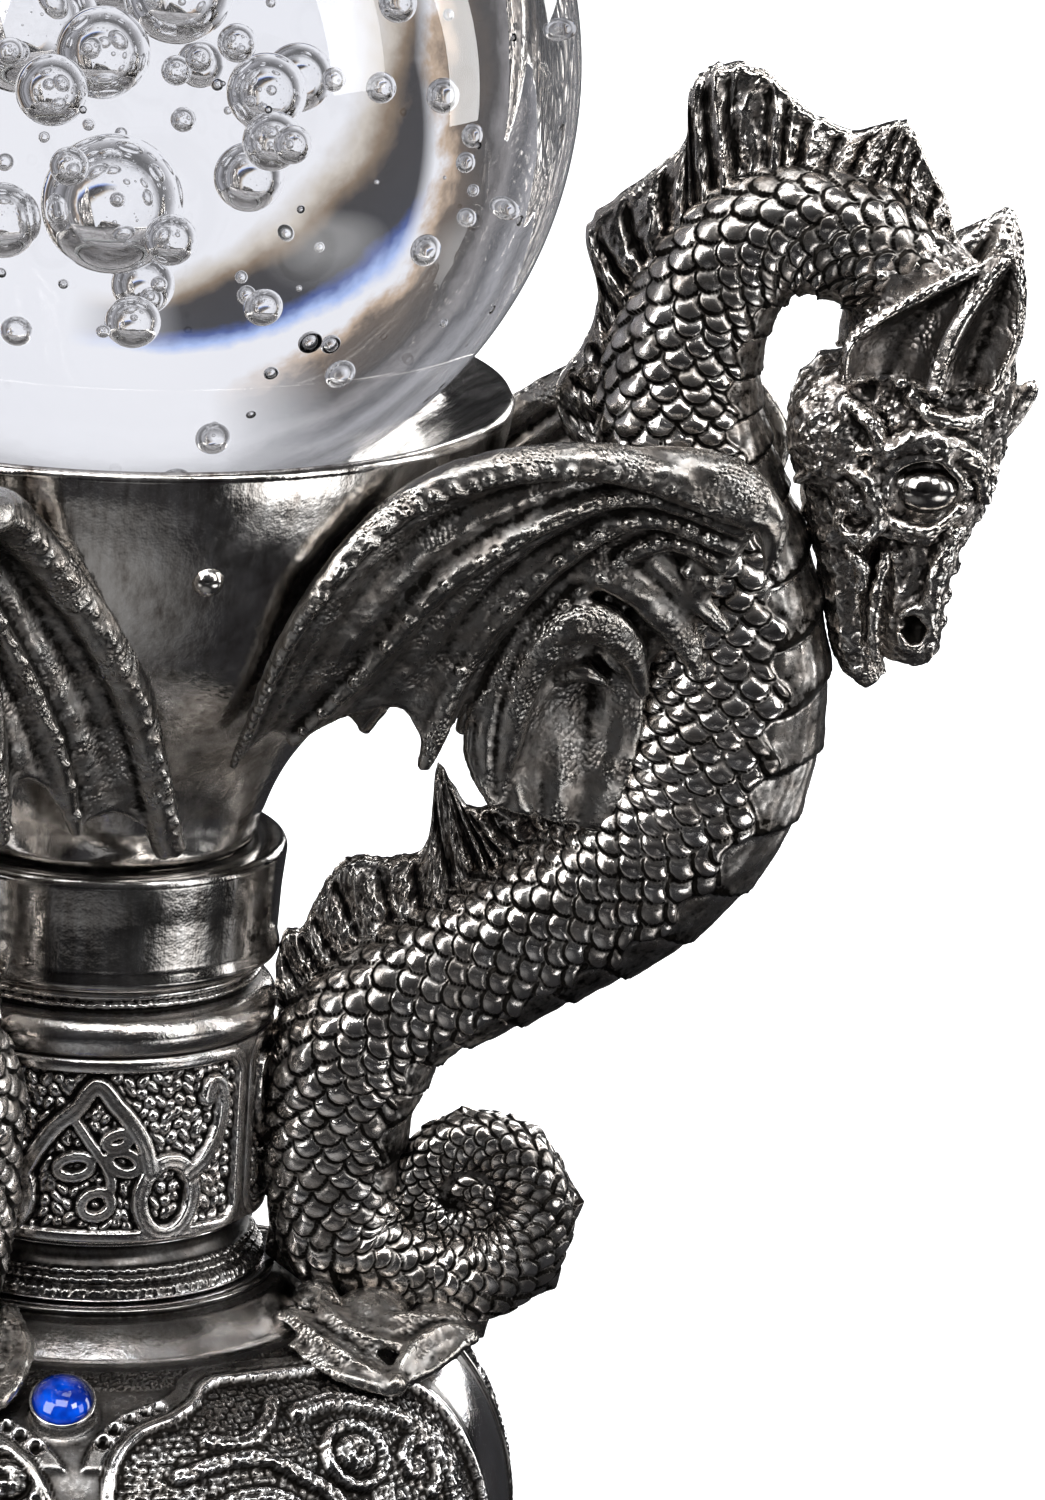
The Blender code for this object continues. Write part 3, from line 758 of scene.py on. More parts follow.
def panel_scrolls(x, y):
    """Leafy scrollwork round a domed boss that fills an arched panel."""
    height = np.zeros(np.broadcast(x, y).shape)
    turn = np.linspace(0.4, 7.6, 120)
    volute = np.stack([12.5 + 0.5 * turn * np.cos(turn), 23.0 + 0.5 * turn * np.sin(turn)], axis=1)
    lines = (
        (volute, 0.95, 1.0),
        (curve([(0.6, 12.6), (5.6, 12.4), (9.8, 14.4), (13.6, 17.6), (16.4, 22.6), (16.8, 29.0)], 80),
         1.3, 1.3),
        (curve([(-16.0, 19.0), (-11.0, 17.6), (-6.4, 17.8), (-3.0, 20.4), (0.4, 24.0), (1.4, 30.0)], 80),
         1.0, 1.1),
        (curve([(-15.0, 24.4), (-9.6, 22.0), (-5.0, 23.2), (-3.4, 27.0), (-6.0, 31.0), (-10.6, 31.6)],
               80), 1.1, 1.1),
        (curve([(-12.0, 14.6), (-8.0, 15.4), (-4.4, 13.4), (-1.6, 10.4)], 60), 1.0, 1.0),
        (curve([(6.6, 31.6), (9.0, 28.6), (13.0, 29.4), (15.0, 33.6), (12.4, 37.6), (7.4, 37.0)], 70),
         1.1, 1.0),
        (curve([(-16.0, 38.0), (-9.6, 36.0), (-2.6, 36.6), (3.4, 34.2), (6.6, 30.0)], 70), 1.2, 1.1),
    )
    for line, width, rise in lines:
        gap = near_line(x, y, line)
        vein = 0.25 * np.exp(-(gap / 0.28) ** 2) * (gap < width)
        height = np.maximum(height, rise * ridge(gap, width) - vein)
    boss = np.hypot(x - 4.6, y - 19.6)
    height = np.maximum(height, 1.7 * ridge(boss, 2.5) - 0.8 * np.exp(-(boss / 0.6) ** 2))
    height = np.maximum(height, 1.1 * ridge(np.abs(boss - 3.7), 0.75))
    return height


def build_base():
    low, high = span("base")
    top, bottom, foot_r = high[2], low[2], high[0]
    band = rounded([(0, top), (21.2, top), (21.8, top - 0.4), (21.4, top - 1.1), (22.8, top - 1.6),
                    (25.9, top - 4.0), (26.5, top - 4.5), (27.0, top - 4.7)], 0.4)
    dome = dense(curve([(27.0, 47.3), (33.0, 46.2), (39.0, 44.1), (44.2, 40.2), (47.9, 34.0),
                        (49.8, 26.5), (50.0, 18.0), (50.4, 13.0)], 80), DOME_STEP)
    foot = rounded([(50.4, 13.0), (51.4, 11.2), (52.6, 10.6), (52.2, 9.4), (53.4, 8.4),
                    (foot_r, 7.0), (foot_r, bottom + 0.4), (foot_r - 0.5, bottom), (45.0, bottom),
                    (42.0, 26.0), (34.0, 36.0), (0, 38.0)], 0.5)
    profile = np.concatenate([band[:-1], dome, foot[1:]])
    first, last = len(band) - 2, len(band) - 2 + len(dome)

    def lift(angle, index):
        turn, reach = np.broadcast_arrays(sector_turn(angle), (index - first) * DOME_STEP)
        on_dome = (index >= first) & (index < last)
        return np.where(on_dome, base_relief(turn, reach), 0.0)

    piece = turned_piece("relief_base", profile, BASE_METAL, "base", 840, lift)
    polish_shoulders(piece.data)


def polish_shoulders(mesh):
    """Full relief mark, for the polish colour, between the arches and on the band's edge."""
    points = mesh_points(mesh) / MM
    turn, z = sector_turn(np.arctan2(points[:, 1], points[:, 0])), points[:, 2]
    shoulder = soft_step(turn, 38.0, 39.5) * soft_step(53.5 - turn, 0.0, 1.5) * (z > 14.0)
    shoulder *= z < 46.4
    shoulder = np.maximum(shoulder, soft_step(1.5 - np.abs(z - 48.6), 0.0, 0.3))
    values = np.empty(len(points))
    marks = mesh.attributes["relief"].data
    marks.foreach_get("value", values)
    marks.foreach_set("value", values * (1 - shoulder) + 1.05 * shoulder)


def build_gems():
    """Domed gem and the metal collar that holds it, beside each dragon."""
    for name in DRAGONS:
        low, high = span(f"gem_{name}")
        middle = (low + high) / 2
        turn = math.atan2(middle[1], middle[0])
        tilt = Matrix.Rotation(turn, 4, "Z") @ Matrix.Rotation(math.radians(GEM_TILT), 4, "Y")
        dome = np.array([(0, 1.9)] + [(3.5 * math.cos(a), 1.9 * math.sin(a))
                                      for a in np.linspace(1.45, 0.0, 14)] + [(3.4, -0.9), (0, -1.0)])
        collar = np.array([(3.5 + 0.28 * math.cos(a), -0.1 + 0.28 * math.sin(a))
                           for a in np.linspace(0, -TAU, 13)[:-1]])
        seat = Vector((36.6 * math.cos(turn), 36.6 * math.sin(turn), 46.3)) * MM
        for kind, profile, material, slot, nodes in (
                ("gem_dome", dome, GEM, "blue_gem", (f"gem_{name}",)),
                ("gem_collar", collar, BASE_METAL, "antique_pewter", ())):
            mesh = new_mesh(kind, *turned(profile, 48))
            mesh.transform(Matrix.Translation(seat) @ tilt)
            mark_relief(mesh)
            place(f"{kind}_{name}", mesh, material, nodes=nodes)


# ---------------------------------------------------------------- dragons

COIL_U, COIL_Z = 43.3, 60.3
COLUMNS = 216
SAMPLES_PER_ROW = 6.6
GIRTH = 5.9               # round the body, in half depths
FLATNESS = 0.88           # half width as a share of half depth
COIL_ROWS = 56.0          # scale rows from the tail's tip to the coil's end
PLATE_ROWS = 3.4          # scale rows to one belly plate

TRUNK = [
    (30.4, 54.6, 6.6), (27.9, 63.0, 7.3), (28.5, 71.0, 8.1), (29.8, 77.4, 8.8), (35.0, 84.0, 8.1),
    (44.2, 89.6, 8.6), (51.7, 94.4, 9.1), (58.5, 99.2, 10.0), (63.7, 104.6, 10.5), (67.2, 110.4, 11.0),
    (69.2, 118.0, 11.3), (69.8, 126.0, 11.0), (68.2, 136.1, 10.3), (65.4, 144.4, 9.6), (63.2, 152.0, 9.0),
    (62.8, 158.0, 8.6), (63.8, 163.6, 8.0), (65.9, 168.8, 7.5), (69.1, 173.0, 7.2), (72.6, 175.1, 7.0),
    (76.6, 175.7, 7.1), (81.2, 174.6, 7.0), (85.6, 171.6, 6.4), (88.4, 167.0, 5.6),
]


def coil_stations():
    """The tail's spiral from its tip outwards: (u, z, half depth)."""
    turns = [510, 420, 330, 270, 225, 180, 90, 0, -90, -140]
    radius = [1.1, 1.7, 2.1, 2.7, 3.9, 5.6, 7.2, 8.2, 9.2, 11.9]
    half = [1.7, 1.9, 1.9, 1.9, 1.9, 2.3, 2.9, 3.7, 4.8, 6.0]
    angle = np.arange(500.0, -145.0, -15.0)
    row = [np.interp(-angle, -np.array(turns, float), values) for values in (radius, half)]
    turn = np.radians(angle)
    return np.stack([COIL_U + row[0] * np.cos(turn), COIL_Z + row[0] * np.sin(turn), row[1]], axis=1)


def scales_round(half):
    """How many scales go round the body where it is this deep."""
    return 4.5 + 1.3 * half


def dragon_stations():
    """Body stations spaced evenly in scale rows: centre and half depth, and the row number."""
    control = np.concatenate([coil_stations()[:-1], np.array(TRUNK)])
    fine = curve(control, 4000)
    pitch = 0.56 * GIRTH * fine[:-1, 2] / scales_round(fine[:-1, 2])
    steps = np.linalg.norm(np.diff(fine[:, :2], axis=0), axis=1)
    row = np.concatenate([[0.0], np.cumsum(steps / pitch)])
    even = np.linspace(0.0, row[-1], int(row[-1] * SAMPLES_PER_ROW))
    return np.stack([np.interp(even, row, fine[:, k]) for k in range(3)], axis=1), even


def scale_pattern(row, angle, half):
    """Overlapping round scales, free edge towards the tail: their height in shares of a scale,
    and a shade from 0 in the gaps to 1 on the domes.  The shade is painted shade: dark along
    each scale's rim and in the groove below the free edge of the scale above.  Each row keeps
    its own whole number of scales."""
    last = int(row.max()) + 4
    counts = np.round(np.interp(np.arange(-3, last), row[:, 0], scales_round(half)))
    height = np.zeros(np.broadcast(row, angle).shape)
    shade = np.zeros(height.shape)
    for shift in (0, 1, 2):
        i = np.floor(row) + shift
        x = i - row + 0.0 * angle
        number = counts[(i + 3).astype(int)]
        column = angle / TAU * number - 0.5 * (i % 2) + 0.12 * (hashed(i, 5.0) - 0.5)
        j = np.round(column)
        across = column - j + 0.05 * (hashed(i, j) - 0.5)
        size = 0.85 + 0.3 * hashed(i + 9, j)
        tip = np.clip(x + 0.05 * (hashed(j, i) - 0.5), 0, None) / 1.12
        gap = np.sqrt((across / 0.53) ** 2 + tip ** 2)
        dome = np.clip(1 - ((across - 0.03) / 0.60) ** 2 - ((x - 0.30) / 1.1) ** 2, 0, 1)
        lean = 1.1 * (hashed(i + 3, j + 5) - 0.5) * across
        own = 0.12 + (0.20 + 0.34 * hashed(i + 7, j)) * (x + 1.1) + 0.55 * size * dome + lean
        own = own - 0.16 * soft_step(gap, 0.88, 1.0) ** 2
        # Painted shade darkens each scale towards its rim; the random tone of each scale is its own.
        tone = (0.70 + 0.55 * hashed(i, j + 21)) * (1 - soft_step(gap, 0.76, 0.94))
        cover = soft_step(1.0 - gap, 0.0, 0.05)
        groove = np.exp(-(np.clip(gap - 1.0, 0, None) / 0.17) ** 2)
        height = (height - 0.26 * groove) * (1 - cover) + own * cover
        # Painted shade in the groove just below the free edge of the scale above.
        shade = shade * (1 - groove) * (1 - cover) + tone * cover
    return height, shade


def belly_pattern(row, belly, edge):
    """Broad overlapping plates along the underside: height in millimetres and shade."""
    place_in = row / PLATE_ROWS + 0.10 * np.sin(row * 1.7) + 0.25 * (belly / edge) ** 2
    share = place_in % 1.0
    height = 0.62 * (1.0 - share) ** 1.3 * soft_step(share, 0.0, 0.07) + 0.1
    pits = np.sin(belly * 23.0 + row * 2.1) * np.sin(belly * 11.0 - row * 1.3)
    chips = np.clip(2.2 * (hashed(np.floor(row * 6.0), np.floor(belly * 16.0)) - 0.55), 0, 1)
    shade = 0.47 - 0.4 * np.exp(-(share / 0.09) ** 2) + 0.16 * pits - 0.2 * chips
    return height + 0.09 * pits - 0.05 * chips, shade


def capped_grid(grid, stations):
    """Rings of points round (u, z, ...) stations, closed at the first and last station."""
    ends = [[stations[k, 0], 0, stations[k, 1]] for k in (0, -1)]
    return np.concatenate([grid.reshape(-1, 3), ends]), capped_faces(*grid.shape[:2])


def build_trunk_mesh():
    """Scaled body from the coiled tail to the nape, with belly plates."""
    stations, row = dragon_stations()
    row = row[:, None]
    half = stations[:, 2]
    tangent = np.gradient(stations[:, :2], axis=0)
    tangent /= np.linalg.norm(tangent, axis=1, keepdims=True)
    back = np.stack([-tangent[:, 1], tangent[:, 0]], axis=1)
    angle = (np.arange(COLUMNS) * TAU / COLUMNS - math.pi)[None, :]
    dorsal, lateral = np.cos(angle), np.sin(angle)
    scales, shade = scale_pattern(row, angle, half)
    width_of_scale = (GIRTH * half / scales_round(half))[:, None]
    height = 0.25 * width_of_scale * scales
    past_coil = soft_step(row, COIL_ROWS, COIL_ROWS + 3)
    belly = np.abs(np.abs(angle) - math.pi)
    edge = (0.36 + 0.062 * half)[:, None] * (1 - 0.10 * np.cos(TAU * row / PLATE_ROWS))
    plates, plate_shade = belly_pattern(row, belly, edge)
    on_belly = soft_step(edge - belly, -0.03, 0.03) * past_coil
    height = height * (1 - on_belly) + plates * on_belly
    shade = shade * (1 - on_belly) + plate_shade * on_belly
    groove = np.exp(-((belly - edge) / 0.045) ** 2) * past_coil
    height = height - 0.25 * groove
    shade = shade * (1 - 0.7 * groove)
    # Painted light and shade: the chest is painted lighter, and the neck and the coiled tail darker, for how
    # the lamps fall on them.
    painted_light_by_height = np.interp(stations[:, 1], [85.0, 105.0, 135.0, 165.0], [0.95, 1.15, 1.15, 0.88])
    shade = shade * np.where(row < COIL_ROWS, 0.86, painted_light_by_height[:, None])
    spine = np.exp(-(angle / 0.14) ** 2)
    height = height * (1 - 0.6 * spine)
    notch = (1.0 - np.abs(np.sin(row * math.pi / 5.0))) ** 1.3
    on_coil = soft_step(-row, -COIL_ROWS - 8, -COIL_ROWS)
    crest = spine * (0.04 + 0.34 * notch) * half[:, None] * on_coil
    reach = half[:, None] * (1.0 + 0.05 * np.sin(2 * angle) ** 2) + height
    reach_u = reach * dorsal + crest
    grid = np.stack([stations[:, :1] + back[:, :1] * reach_u,
                     reach * FLATNESS * lateral,
                     stations[:, 1:2] + back[:, 1:2] * reach_u], axis=-1)
    web = ellipsoid((COIL_U, 0.0, COIL_Z), (6.4, 1.6, 6.4), 30, 40)
    points, faces = join_parts([capped_grid(grid, stations), web])
    mesh = new_mesh("dragon_trunk", points, faces)
    # Painted shade: the web between the trunk and the coil gets a low value, so it shows dark in the crevice
    # between them.
    tones = np.full(len(points), 0.1)
    tones[:shade.size] = shade.reshape(-1)
    mark_relief(mesh, 4, 20, tones)
    return mesh


# Outer edges and roots of the fins, in the dragon's plane.
NAPE_EDGE = [(57.6, 143.0), (51.2, 149.4), (48.8, 156.0), (51.8, 161.5), (53.0, 167.0), (51.4, 174.6),
             (56.6, 179.8), (61.6, 184.4), (62.0, 190.6), (65.0, 193.8), (70.2, 193.2), (74.8, 189.4),
             (80.0, 187.0), (84.4, 188.2), (86.4, 188.2), (88.6, 184.4), (91.2, 179.4), (92.5, 175.0)]
NAPE_ROOT = [(61.5, 142.0), (57.6, 150.0), (56.8, 158.0), (58.4, 164.4), (61.0, 170.4), (64.8, 176.0),
             (70.4, 180.0), (76.0, 181.0), (82.0, 179.8), (87.0, 177.0), (90.0, 172.6)]
BACK_EDGE = [(21.8, 78.0), (20.4, 84.0), (21.0, 90.8), (23.2, 91.8), (24.6, 95.2), (27.8, 100.2),
             (33.0, 100.6), (36.8, 102.4), (37.6, 111.6), (39.4, 109.6), (41.6, 107.0),
             (46.6, 108.4), (52.0, 110.4), (58.0, 111.0)]
BACK_ROOT = [(26.0, 76.0), (25.6, 82.0), (29.0, 88.0), (35.4, 93.0), (43.0, 97.0), (50.0, 101.6),
             (58.0, 106.0)]


def fin_part(root, edge, ribs, root_half, tip_half, seed):
    """Ribbed rugged sail between a root line and an outer edge in the dragon's plane."""
    rows, columns = 40, 330
    random = np.random.default_rng(seed)
    along = np.linspace(0, 1, columns)
    inner = spline(root, along * (len(root) - 1))
    share = np.linspace(-0.22, 1.0, rows)[:, None]
    ragged = 0.35 * np.interp(along, np.linspace(0, 1, 120), random.normal(size=120))
    lean = 0.014 * np.sin(math.pi * np.clip(share, 0, 1))
    bend = spline(edge, np.clip(along[None, :] - lean, 0, 1) * (len(edge) - 1))
    flat = inner[None] + (bend - inner[None]) * (share * (1 + 0.03 * ragged[None, :]))[..., None]
    stops = np.concatenate([[0.0], np.cumsum(0.55 + random.random(ribs))])
    phase = np.interp(along, stops / stops[-1], np.arange(ribs + 1.0))
    strength = 0.55 + 0.9 * random.random(ribs + 1)[np.floor(phase).astype(int)]
    reach = np.clip(share, 0, 1)
    rib = np.abs(np.sin(math.pi * (phase[None, :] + 0.25 * reach ** 2))) ** 0.75
    lumps = np.array([[noise.fractal(Vector((a * 60.0, s * 7.0, seed * 3.7)), 0.9, 2.0, 4)
                       for a in along] for s in share[:, 0]])
    rim = np.exp(-((reach - 0.94) / 0.07) ** 2)
    half = root_half + (tip_half - root_half) * reach
    swell = half * (0.35 + 0.85 * rib * strength[None, :] * (1 - 0.75 * rim) + 0.55 * rim + 0.30 * lumps)
    swell = np.maximum(swell, 0.3)
    swell[-1] = 0.25
    near = np.stack([flat[..., 0], -swell, flat[..., 1]], axis=-1)
    far = np.stack([flat[..., 0], swell, flat[..., 1]], axis=-1)
    return plate(near, far)


def build_fin_mesh():
    parts = [fin_part(NAPE_ROOT, NAPE_EDGE, 24, 2.3, 1.1, 3),
             fin_part(BACK_ROOT, BACK_EDGE, 16, 2.2, 1.1, 5)]
    mesh = new_mesh("dragon_fins", *join_parts(parts))
    mark_relief(mesh)
    return mesh


def ear_part():
    """Cupped pointed ear with a fold down its middle, on the near side."""
    rows, columns = 26, 34
    q = np.linspace(0, 1, rows)
    rear = curve([(80.2, 160.4), (81.4, 166.0), (88.6, 171.2), (98.0, 176.4)], rows)
    front = curve([(97.6, 160.0), (99.8, 167.0), (99.9, 173.0), (98.6, 177.0)], rows)
    p = np.linspace(0, 1, columns)[None, :]
    flat = rear[:, None, :] + (front - rear)[:, None, :] * p[..., None]
    hollow = (3.4 * np.sin(math.pi * np.clip(p / 0.6, 0, 1))
              + 2.6 * np.sin(math.pi * np.clip((p - 0.6) / 0.4, 0, 1)))
    fold = 1.5 * np.exp(-((p - 0.6) / 0.07) ** 2)
    painted_rim_shade = -(9.6 + 1.4 * q[:, None]) + (hollow - fold) * (1 - q[:, None] ** 2)
    return sheet(np.stack([flat[..., 0], painted_rim_shade, flat[..., 1]], axis=-1), 1.3)


# Stations in the dragon's plane: u, z, half depth, half width.
SKULL = [(84.0, 173.6, 6.0, 5.8), (87.4, 169.6, 7.8, 6.8), (89.6, 164.6, 9.0, 7.6),
         (90.4, 159.0, 9.8, 8.0), (90.0, 153.0, 9.2, 7.8), (89.4, 147.5, 8.4, 7.2),
         (88.4, 142.0, 6.8, 6.0)]
MUZZLE = [(91.6, 148.0, 5.6, 6.0), (90.8, 143.0, 5.0, 5.4), (90.0, 138.0, 4.3, 4.9),
          (89.6, 133.0, 3.9, 4.7), (89.7, 129.4, 3.7, 4.5), (89.5, 127.2, 2.6, 3.6)]
JAW = [(81.6, 150.0, 5.2, 5.4), (81.6, 144.0, 4.4, 5.0), (82.4, 138.0, 3.3, 4.4),
       (83.0, 132.0, 2.7, 4.0), (84.2, 127.6, 2.6, 3.6), (86.2, 124.8, 1.7, 2.8)]
NOSE_RIDGE = [(99.4, 155.6), (98.6, 151.8), (98.0, 148.2), (97.0, 144.8), (95.6, 141.6),
              (94.6, 138.2), (94.0, 134.8), (93.8, 131.6), (93.4, 128.8)]
NOSTRIL = (90.3, 4.8, 131.8)
EYE = (90.4, 8.2, 148.4)


def face_parts():
    """Cheek, brow, lids, lips, nostril rim, scrolls and ears, on both sides."""
    parts = []
    for part in (
            ellipsoid((80.6, -3.6, 153.8), (5.8, 4.8, 7.6)),
            ellipsoid((92.0, -4.0, 165.0), (7.0, 4.6, 7.0)),
            ellipsoid((84.4, -5.2, 147.6), (4.6, 3.6, 5.0)),
            smooth_tube([(84.4, -6.6, 150.0), (87.2, -8.4, 153.6), (91.6, -8.5, 154.2), (96.0, -6.6, 151.4),
                         (97.2, -4.6, 146.6)], [0.9, 1.3, 1.4, 1.2, 0.7]),
            smooth_tube([(85.6, -7.0, 146.4), (88.0, -8.0, 144.2), (91.8, -8.0, 144.2), (95.2, -6.8, 147.0)],
                        [0.6, 0.8, 0.8, 0.6]),
            smooth_tube([(85.4, -7.1, 146.4), (87.2, -8.3, 151.4), (91.8, -8.5, 152.6), (95.4, -6.9, 148.6)],
                        [0.5, 0.8, 0.8, 0.5]),
            smooth_tube([(94.4, -4.6, 144.0), (92.6, -5.2, 139.0), (91.8, -5.0, 134.0), (92.2, -4.0, 130.4)],
                        [1.0, 1.1, 1.2, 0.9]),
            smooth_tube([(86.6, -4.4, 140.5), (86.0, -4.8, 136.0), (85.8, -4.5, 131.0),
                         (86.3, -3.9, 127.4)], [0.5, 0.7, 0.7, 0.5]),
            smooth_tube([(88.6, -5.0, 133.0), (90.4, -5.3, 134.0), (91.9, -4.6, 132.2), (91.2, -4.5, 129.8),
                         (89.4, -4.6, 129.6), (88.6, -5.0, 131.6)], [0.5, 0.7, 0.7, 0.6, 0.6, 0.5]),
            smooth_tube([(81.0, -7.6, 150.6), (84.0, -8.4, 149.0), (85.6, -8.0, 145.0), (83.4, -7.6, 142.4),
                         (81.2, -7.0, 144.4), (82.4, -7.6, 146.6)], [0.5, 1.0, 1.0, 0.9, 0.7, 0.4]),
            smooth_tube([(80.6, -7.2, 158.6), (83.6, -8.4, 156.4), (85.0, -8.4, 153.6), (83.0, -8.2, 152.4)],
                        [0.6, 1.0, 0.9, 0.5]),
            smooth_tube([(82.0, -5.0, 140.6), (84.2, -5.6, 138.8), (84.0, -5.2, 135.4)], [0.5, 0.8, 0.4]),
            smooth_tube([(76.0, -5.0, 148.0), (78.6, -6.8, 150.6), (81.4, -7.4, 154.6), (80.2, -7.6, 158.0)],
                        [0.6, 0.9, 0.9, 0.5]),
            smooth_tube([(88.0, -8.0, 159.6), (91.0, -8.6, 157.2), (94.8, -7.4, 156.6), (97.4, -5.2, 158.2)],
                        [0.7, 1.1, 1.0, 0.6]),
            ear_part(),
            ellipsoid((97.4, -2.4, 161.4), (2.2, 1.8, 1.6)),
    ):
        parts += both_sides(part)
    return parts


def ridge_parts():
    """Knobs down the middle of the nose and the horn above them."""
    parts = []
    for index, (u, z) in enumerate(NOSE_RIDGE):
        size = 2.1 - 0.09 * index
        parts.append(ellipsoid((u - 1.3, 0.0, z), (size, size * 1.5, size * 0.85)))
        parts += both_sides(ellipsoid((u - 1.9, -2.2, z + 1.4), (size * 0.8, size * 0.8, size * 0.7)))
    horn = [(96.0, 0.0, 153.6), (98.6, 0.0, 155.4), (100.6, 0.0, 157.4), (102.4, 0.0, 159.6)]
    return parts + [smooth_tube(horn, [2.8, 2.2, 1.6, 0.6], 20, flat=0.6)]


def skull_warts():
    """Round warts scattered over the skull."""
    parts = []
    for k in range(46):
        along, turn, size = (float(hashed(k, seed)) for seed in (3.0, 7.0, 11.0))
        u, z, a, b = spline(SKULL, [along * 5.6])[0]
        angle = turn * TAU
        centre = (u + a * math.cos(angle), b * math.sin(angle), z)
        parts.append(ellipsoid(centre, (0.55 + 0.5 * size,) * 3, 8, 10))
    return parts


def head_parts():
    """Overlapping solids of the head, fused later into one skin."""
    masses = [oval_sweep(curve(SKULL, 22)), oval_sweep(curve(MUZZLE, 20)), oval_sweep(curve(JAW, 20))]
    return masses + face_parts() + ridge_parts() + skull_warts()


def oval_sweep(stations, sides=22):
    """Oval tube in the dragon's plane through (u, z, half depth, half width) stations."""
    stations = np.asarray(stations)
    tangent = np.gradient(stations[:, :2], axis=0)
    tangent /= np.linalg.norm(tangent, axis=1, keepdims=True)
    across = np.stack([-tangent[:, 1], tangent[:, 0]], axis=1)
    angle = np.arange(sides) * TAU / sides
    painted_rim_shade = stations[:, 2:3] * np.cos(angle)
    grid = np.stack([stations[:, :1] + across[:, :1] * painted_rim_shade, stations[:, 3:4] * np.sin(angle),
                     stations[:, 1:2] + across[:, 1:2] * painted_rim_shade], axis=-1)
    return capped_grid(grid, stations)


def wart_height(mesh, pitch, rise):
    """Small domes scattered over a skin by a cell pattern."""
    result = []
    for vertex in mesh.vertices:
        distance = noise.voronoi(vertex.co / (pitch * MM), distance_metric="DISTANCE")[0][0]
        result.append(rise * max(0.0, 1.0 - (distance / 0.48) ** 2))
    return np.array(result)


def build_head_mesh():
    mesh = fuse("dragon_head", head_parts(), 0.30, 3)
    points = mesh_points(mesh) / MM
    warts = wart_height(mesh, 2.1, 0.26) + wart_height(mesh, 1.0, 0.10)
    warts += np.array([0.26 * noise.fractal(Vector(p) * 0.5, 0.8, 2.1, 4) for p in points])
    ear = (points[:, 2] > 161.0) & (points[:, 1] ** 2 > 6.0 ** 2)
    warts = np.where(ear, 0.15 * warts, warts)
    for side in ((1.0, -1.0, 1.0), (1.0, 1.0, 1.0)):
        nostril = (points - np.multiply(NOSTRIL, side)) / (1.0, 1.6, 1.35)
        nostril = np.linalg.norm(nostril, axis=1)
        warts = np.where(nostril < 2.0, warts - 1.5 * np.exp(-(nostril / 0.85) ** 2), warts)
        eye = np.linalg.norm(points - np.multiply(EYE, side), axis=1)
        warts = np.where(eye < 4.0, 0.2 * warts, warts)
    push(mesh, warts)
    mark_relief(mesh, 3, 30, softness=1.5)
    return mesh


def build_eye_mesh():
    parts = both_sides(ellipsoid((90.6, -6.2, 148.4), (3.7, 3.1, 2.9), 24, 32))
    mesh = new_mesh("dragon_eyes", *join_parts(parts))
    mark_relief(mesh)
    return mesh


# ---------------------------------------------------------------- wings

# Five fingers of each wing from the shoulder to the tip, as (u, t, z).
NEAR_FINGERS = np.array([
    [(71.5, 21.0, 148.5), (54.5, 25.5, 154.0), (36.0, 31.0, 151.0), (23.8, 34.8, 138.0), (15.8, 23.0, 116.5)],
    [(70.8, 19.6, 146.0), (56.9, 23.0, 149.6), (40.0, 26.5, 141.0), (29.6, 25.0, 128.6), (22.0, 21.6, 119.4)],
    [(70.0, 18.0, 143.6), (59.0, 20.5, 146.6), (47.6, 20.0, 138.6), (40.0, 18.0, 127.0), (36.6, 17.0, 115.8)],
    [(69.2, 16.4, 141.0), (61.4, 17.0, 143.4), (52.0, 15.6, 136.0), (45.6, 14.6, 128.6), (41.6, 15.0, 121.6)],
    [(68.4, 14.6, 138.4), (63.6, 13.6, 139.4), (56.0, 13.0, 135.6), (50.0, 12.6, 130.0), (46.6, 12.6, 124.6)],
])
FAR_FINGERS = np.array([
    [(71.5, 21.0, 148.5), (57.0, 21.0, 153.2), (43.2, 18.0, 147.0), (28.4, 20.6, 129.2), (16.4, 19.8, 107.0)],
    [(70.8, 19.6, 146.0), (58.5, 19.0, 147.5), (46.6, 15.4, 139.5), (36.0, 16.4, 124.0), (28.4, 15.4, 110.6)],
    [(70.0, 18.0, 143.6), (60.0, 17.0, 144.0), (50.6, 14.6, 134.5), (43.6, 14.2, 121.5), (39.6, 13.4, 111.6)],
    [(69.2, 16.4, 141.0), (61.4, 16.0, 141.4), (54.6, 13.8, 131.8), (49.6, 13.0, 121.0), (47.6, 12.8, 113.6)],
    [(68.4, 14.6, 138.4), (63.6, 13.6, 139.4), (58.0, 13.0, 133.6), (54.0, 12.6, 126.0), (52.4, 12.4, 119.6)],
])


def wing_grid(fingers, across, along):
    """Wing surface, t positive."""
    lines = np.stack([spline(finger, along * 4.0) for finger in fingers])
    result = np.empty((len(across), len(along), 3))
    for j in range(len(along)):
        result[:, j] = spline(lines[:, j], across)
    return result


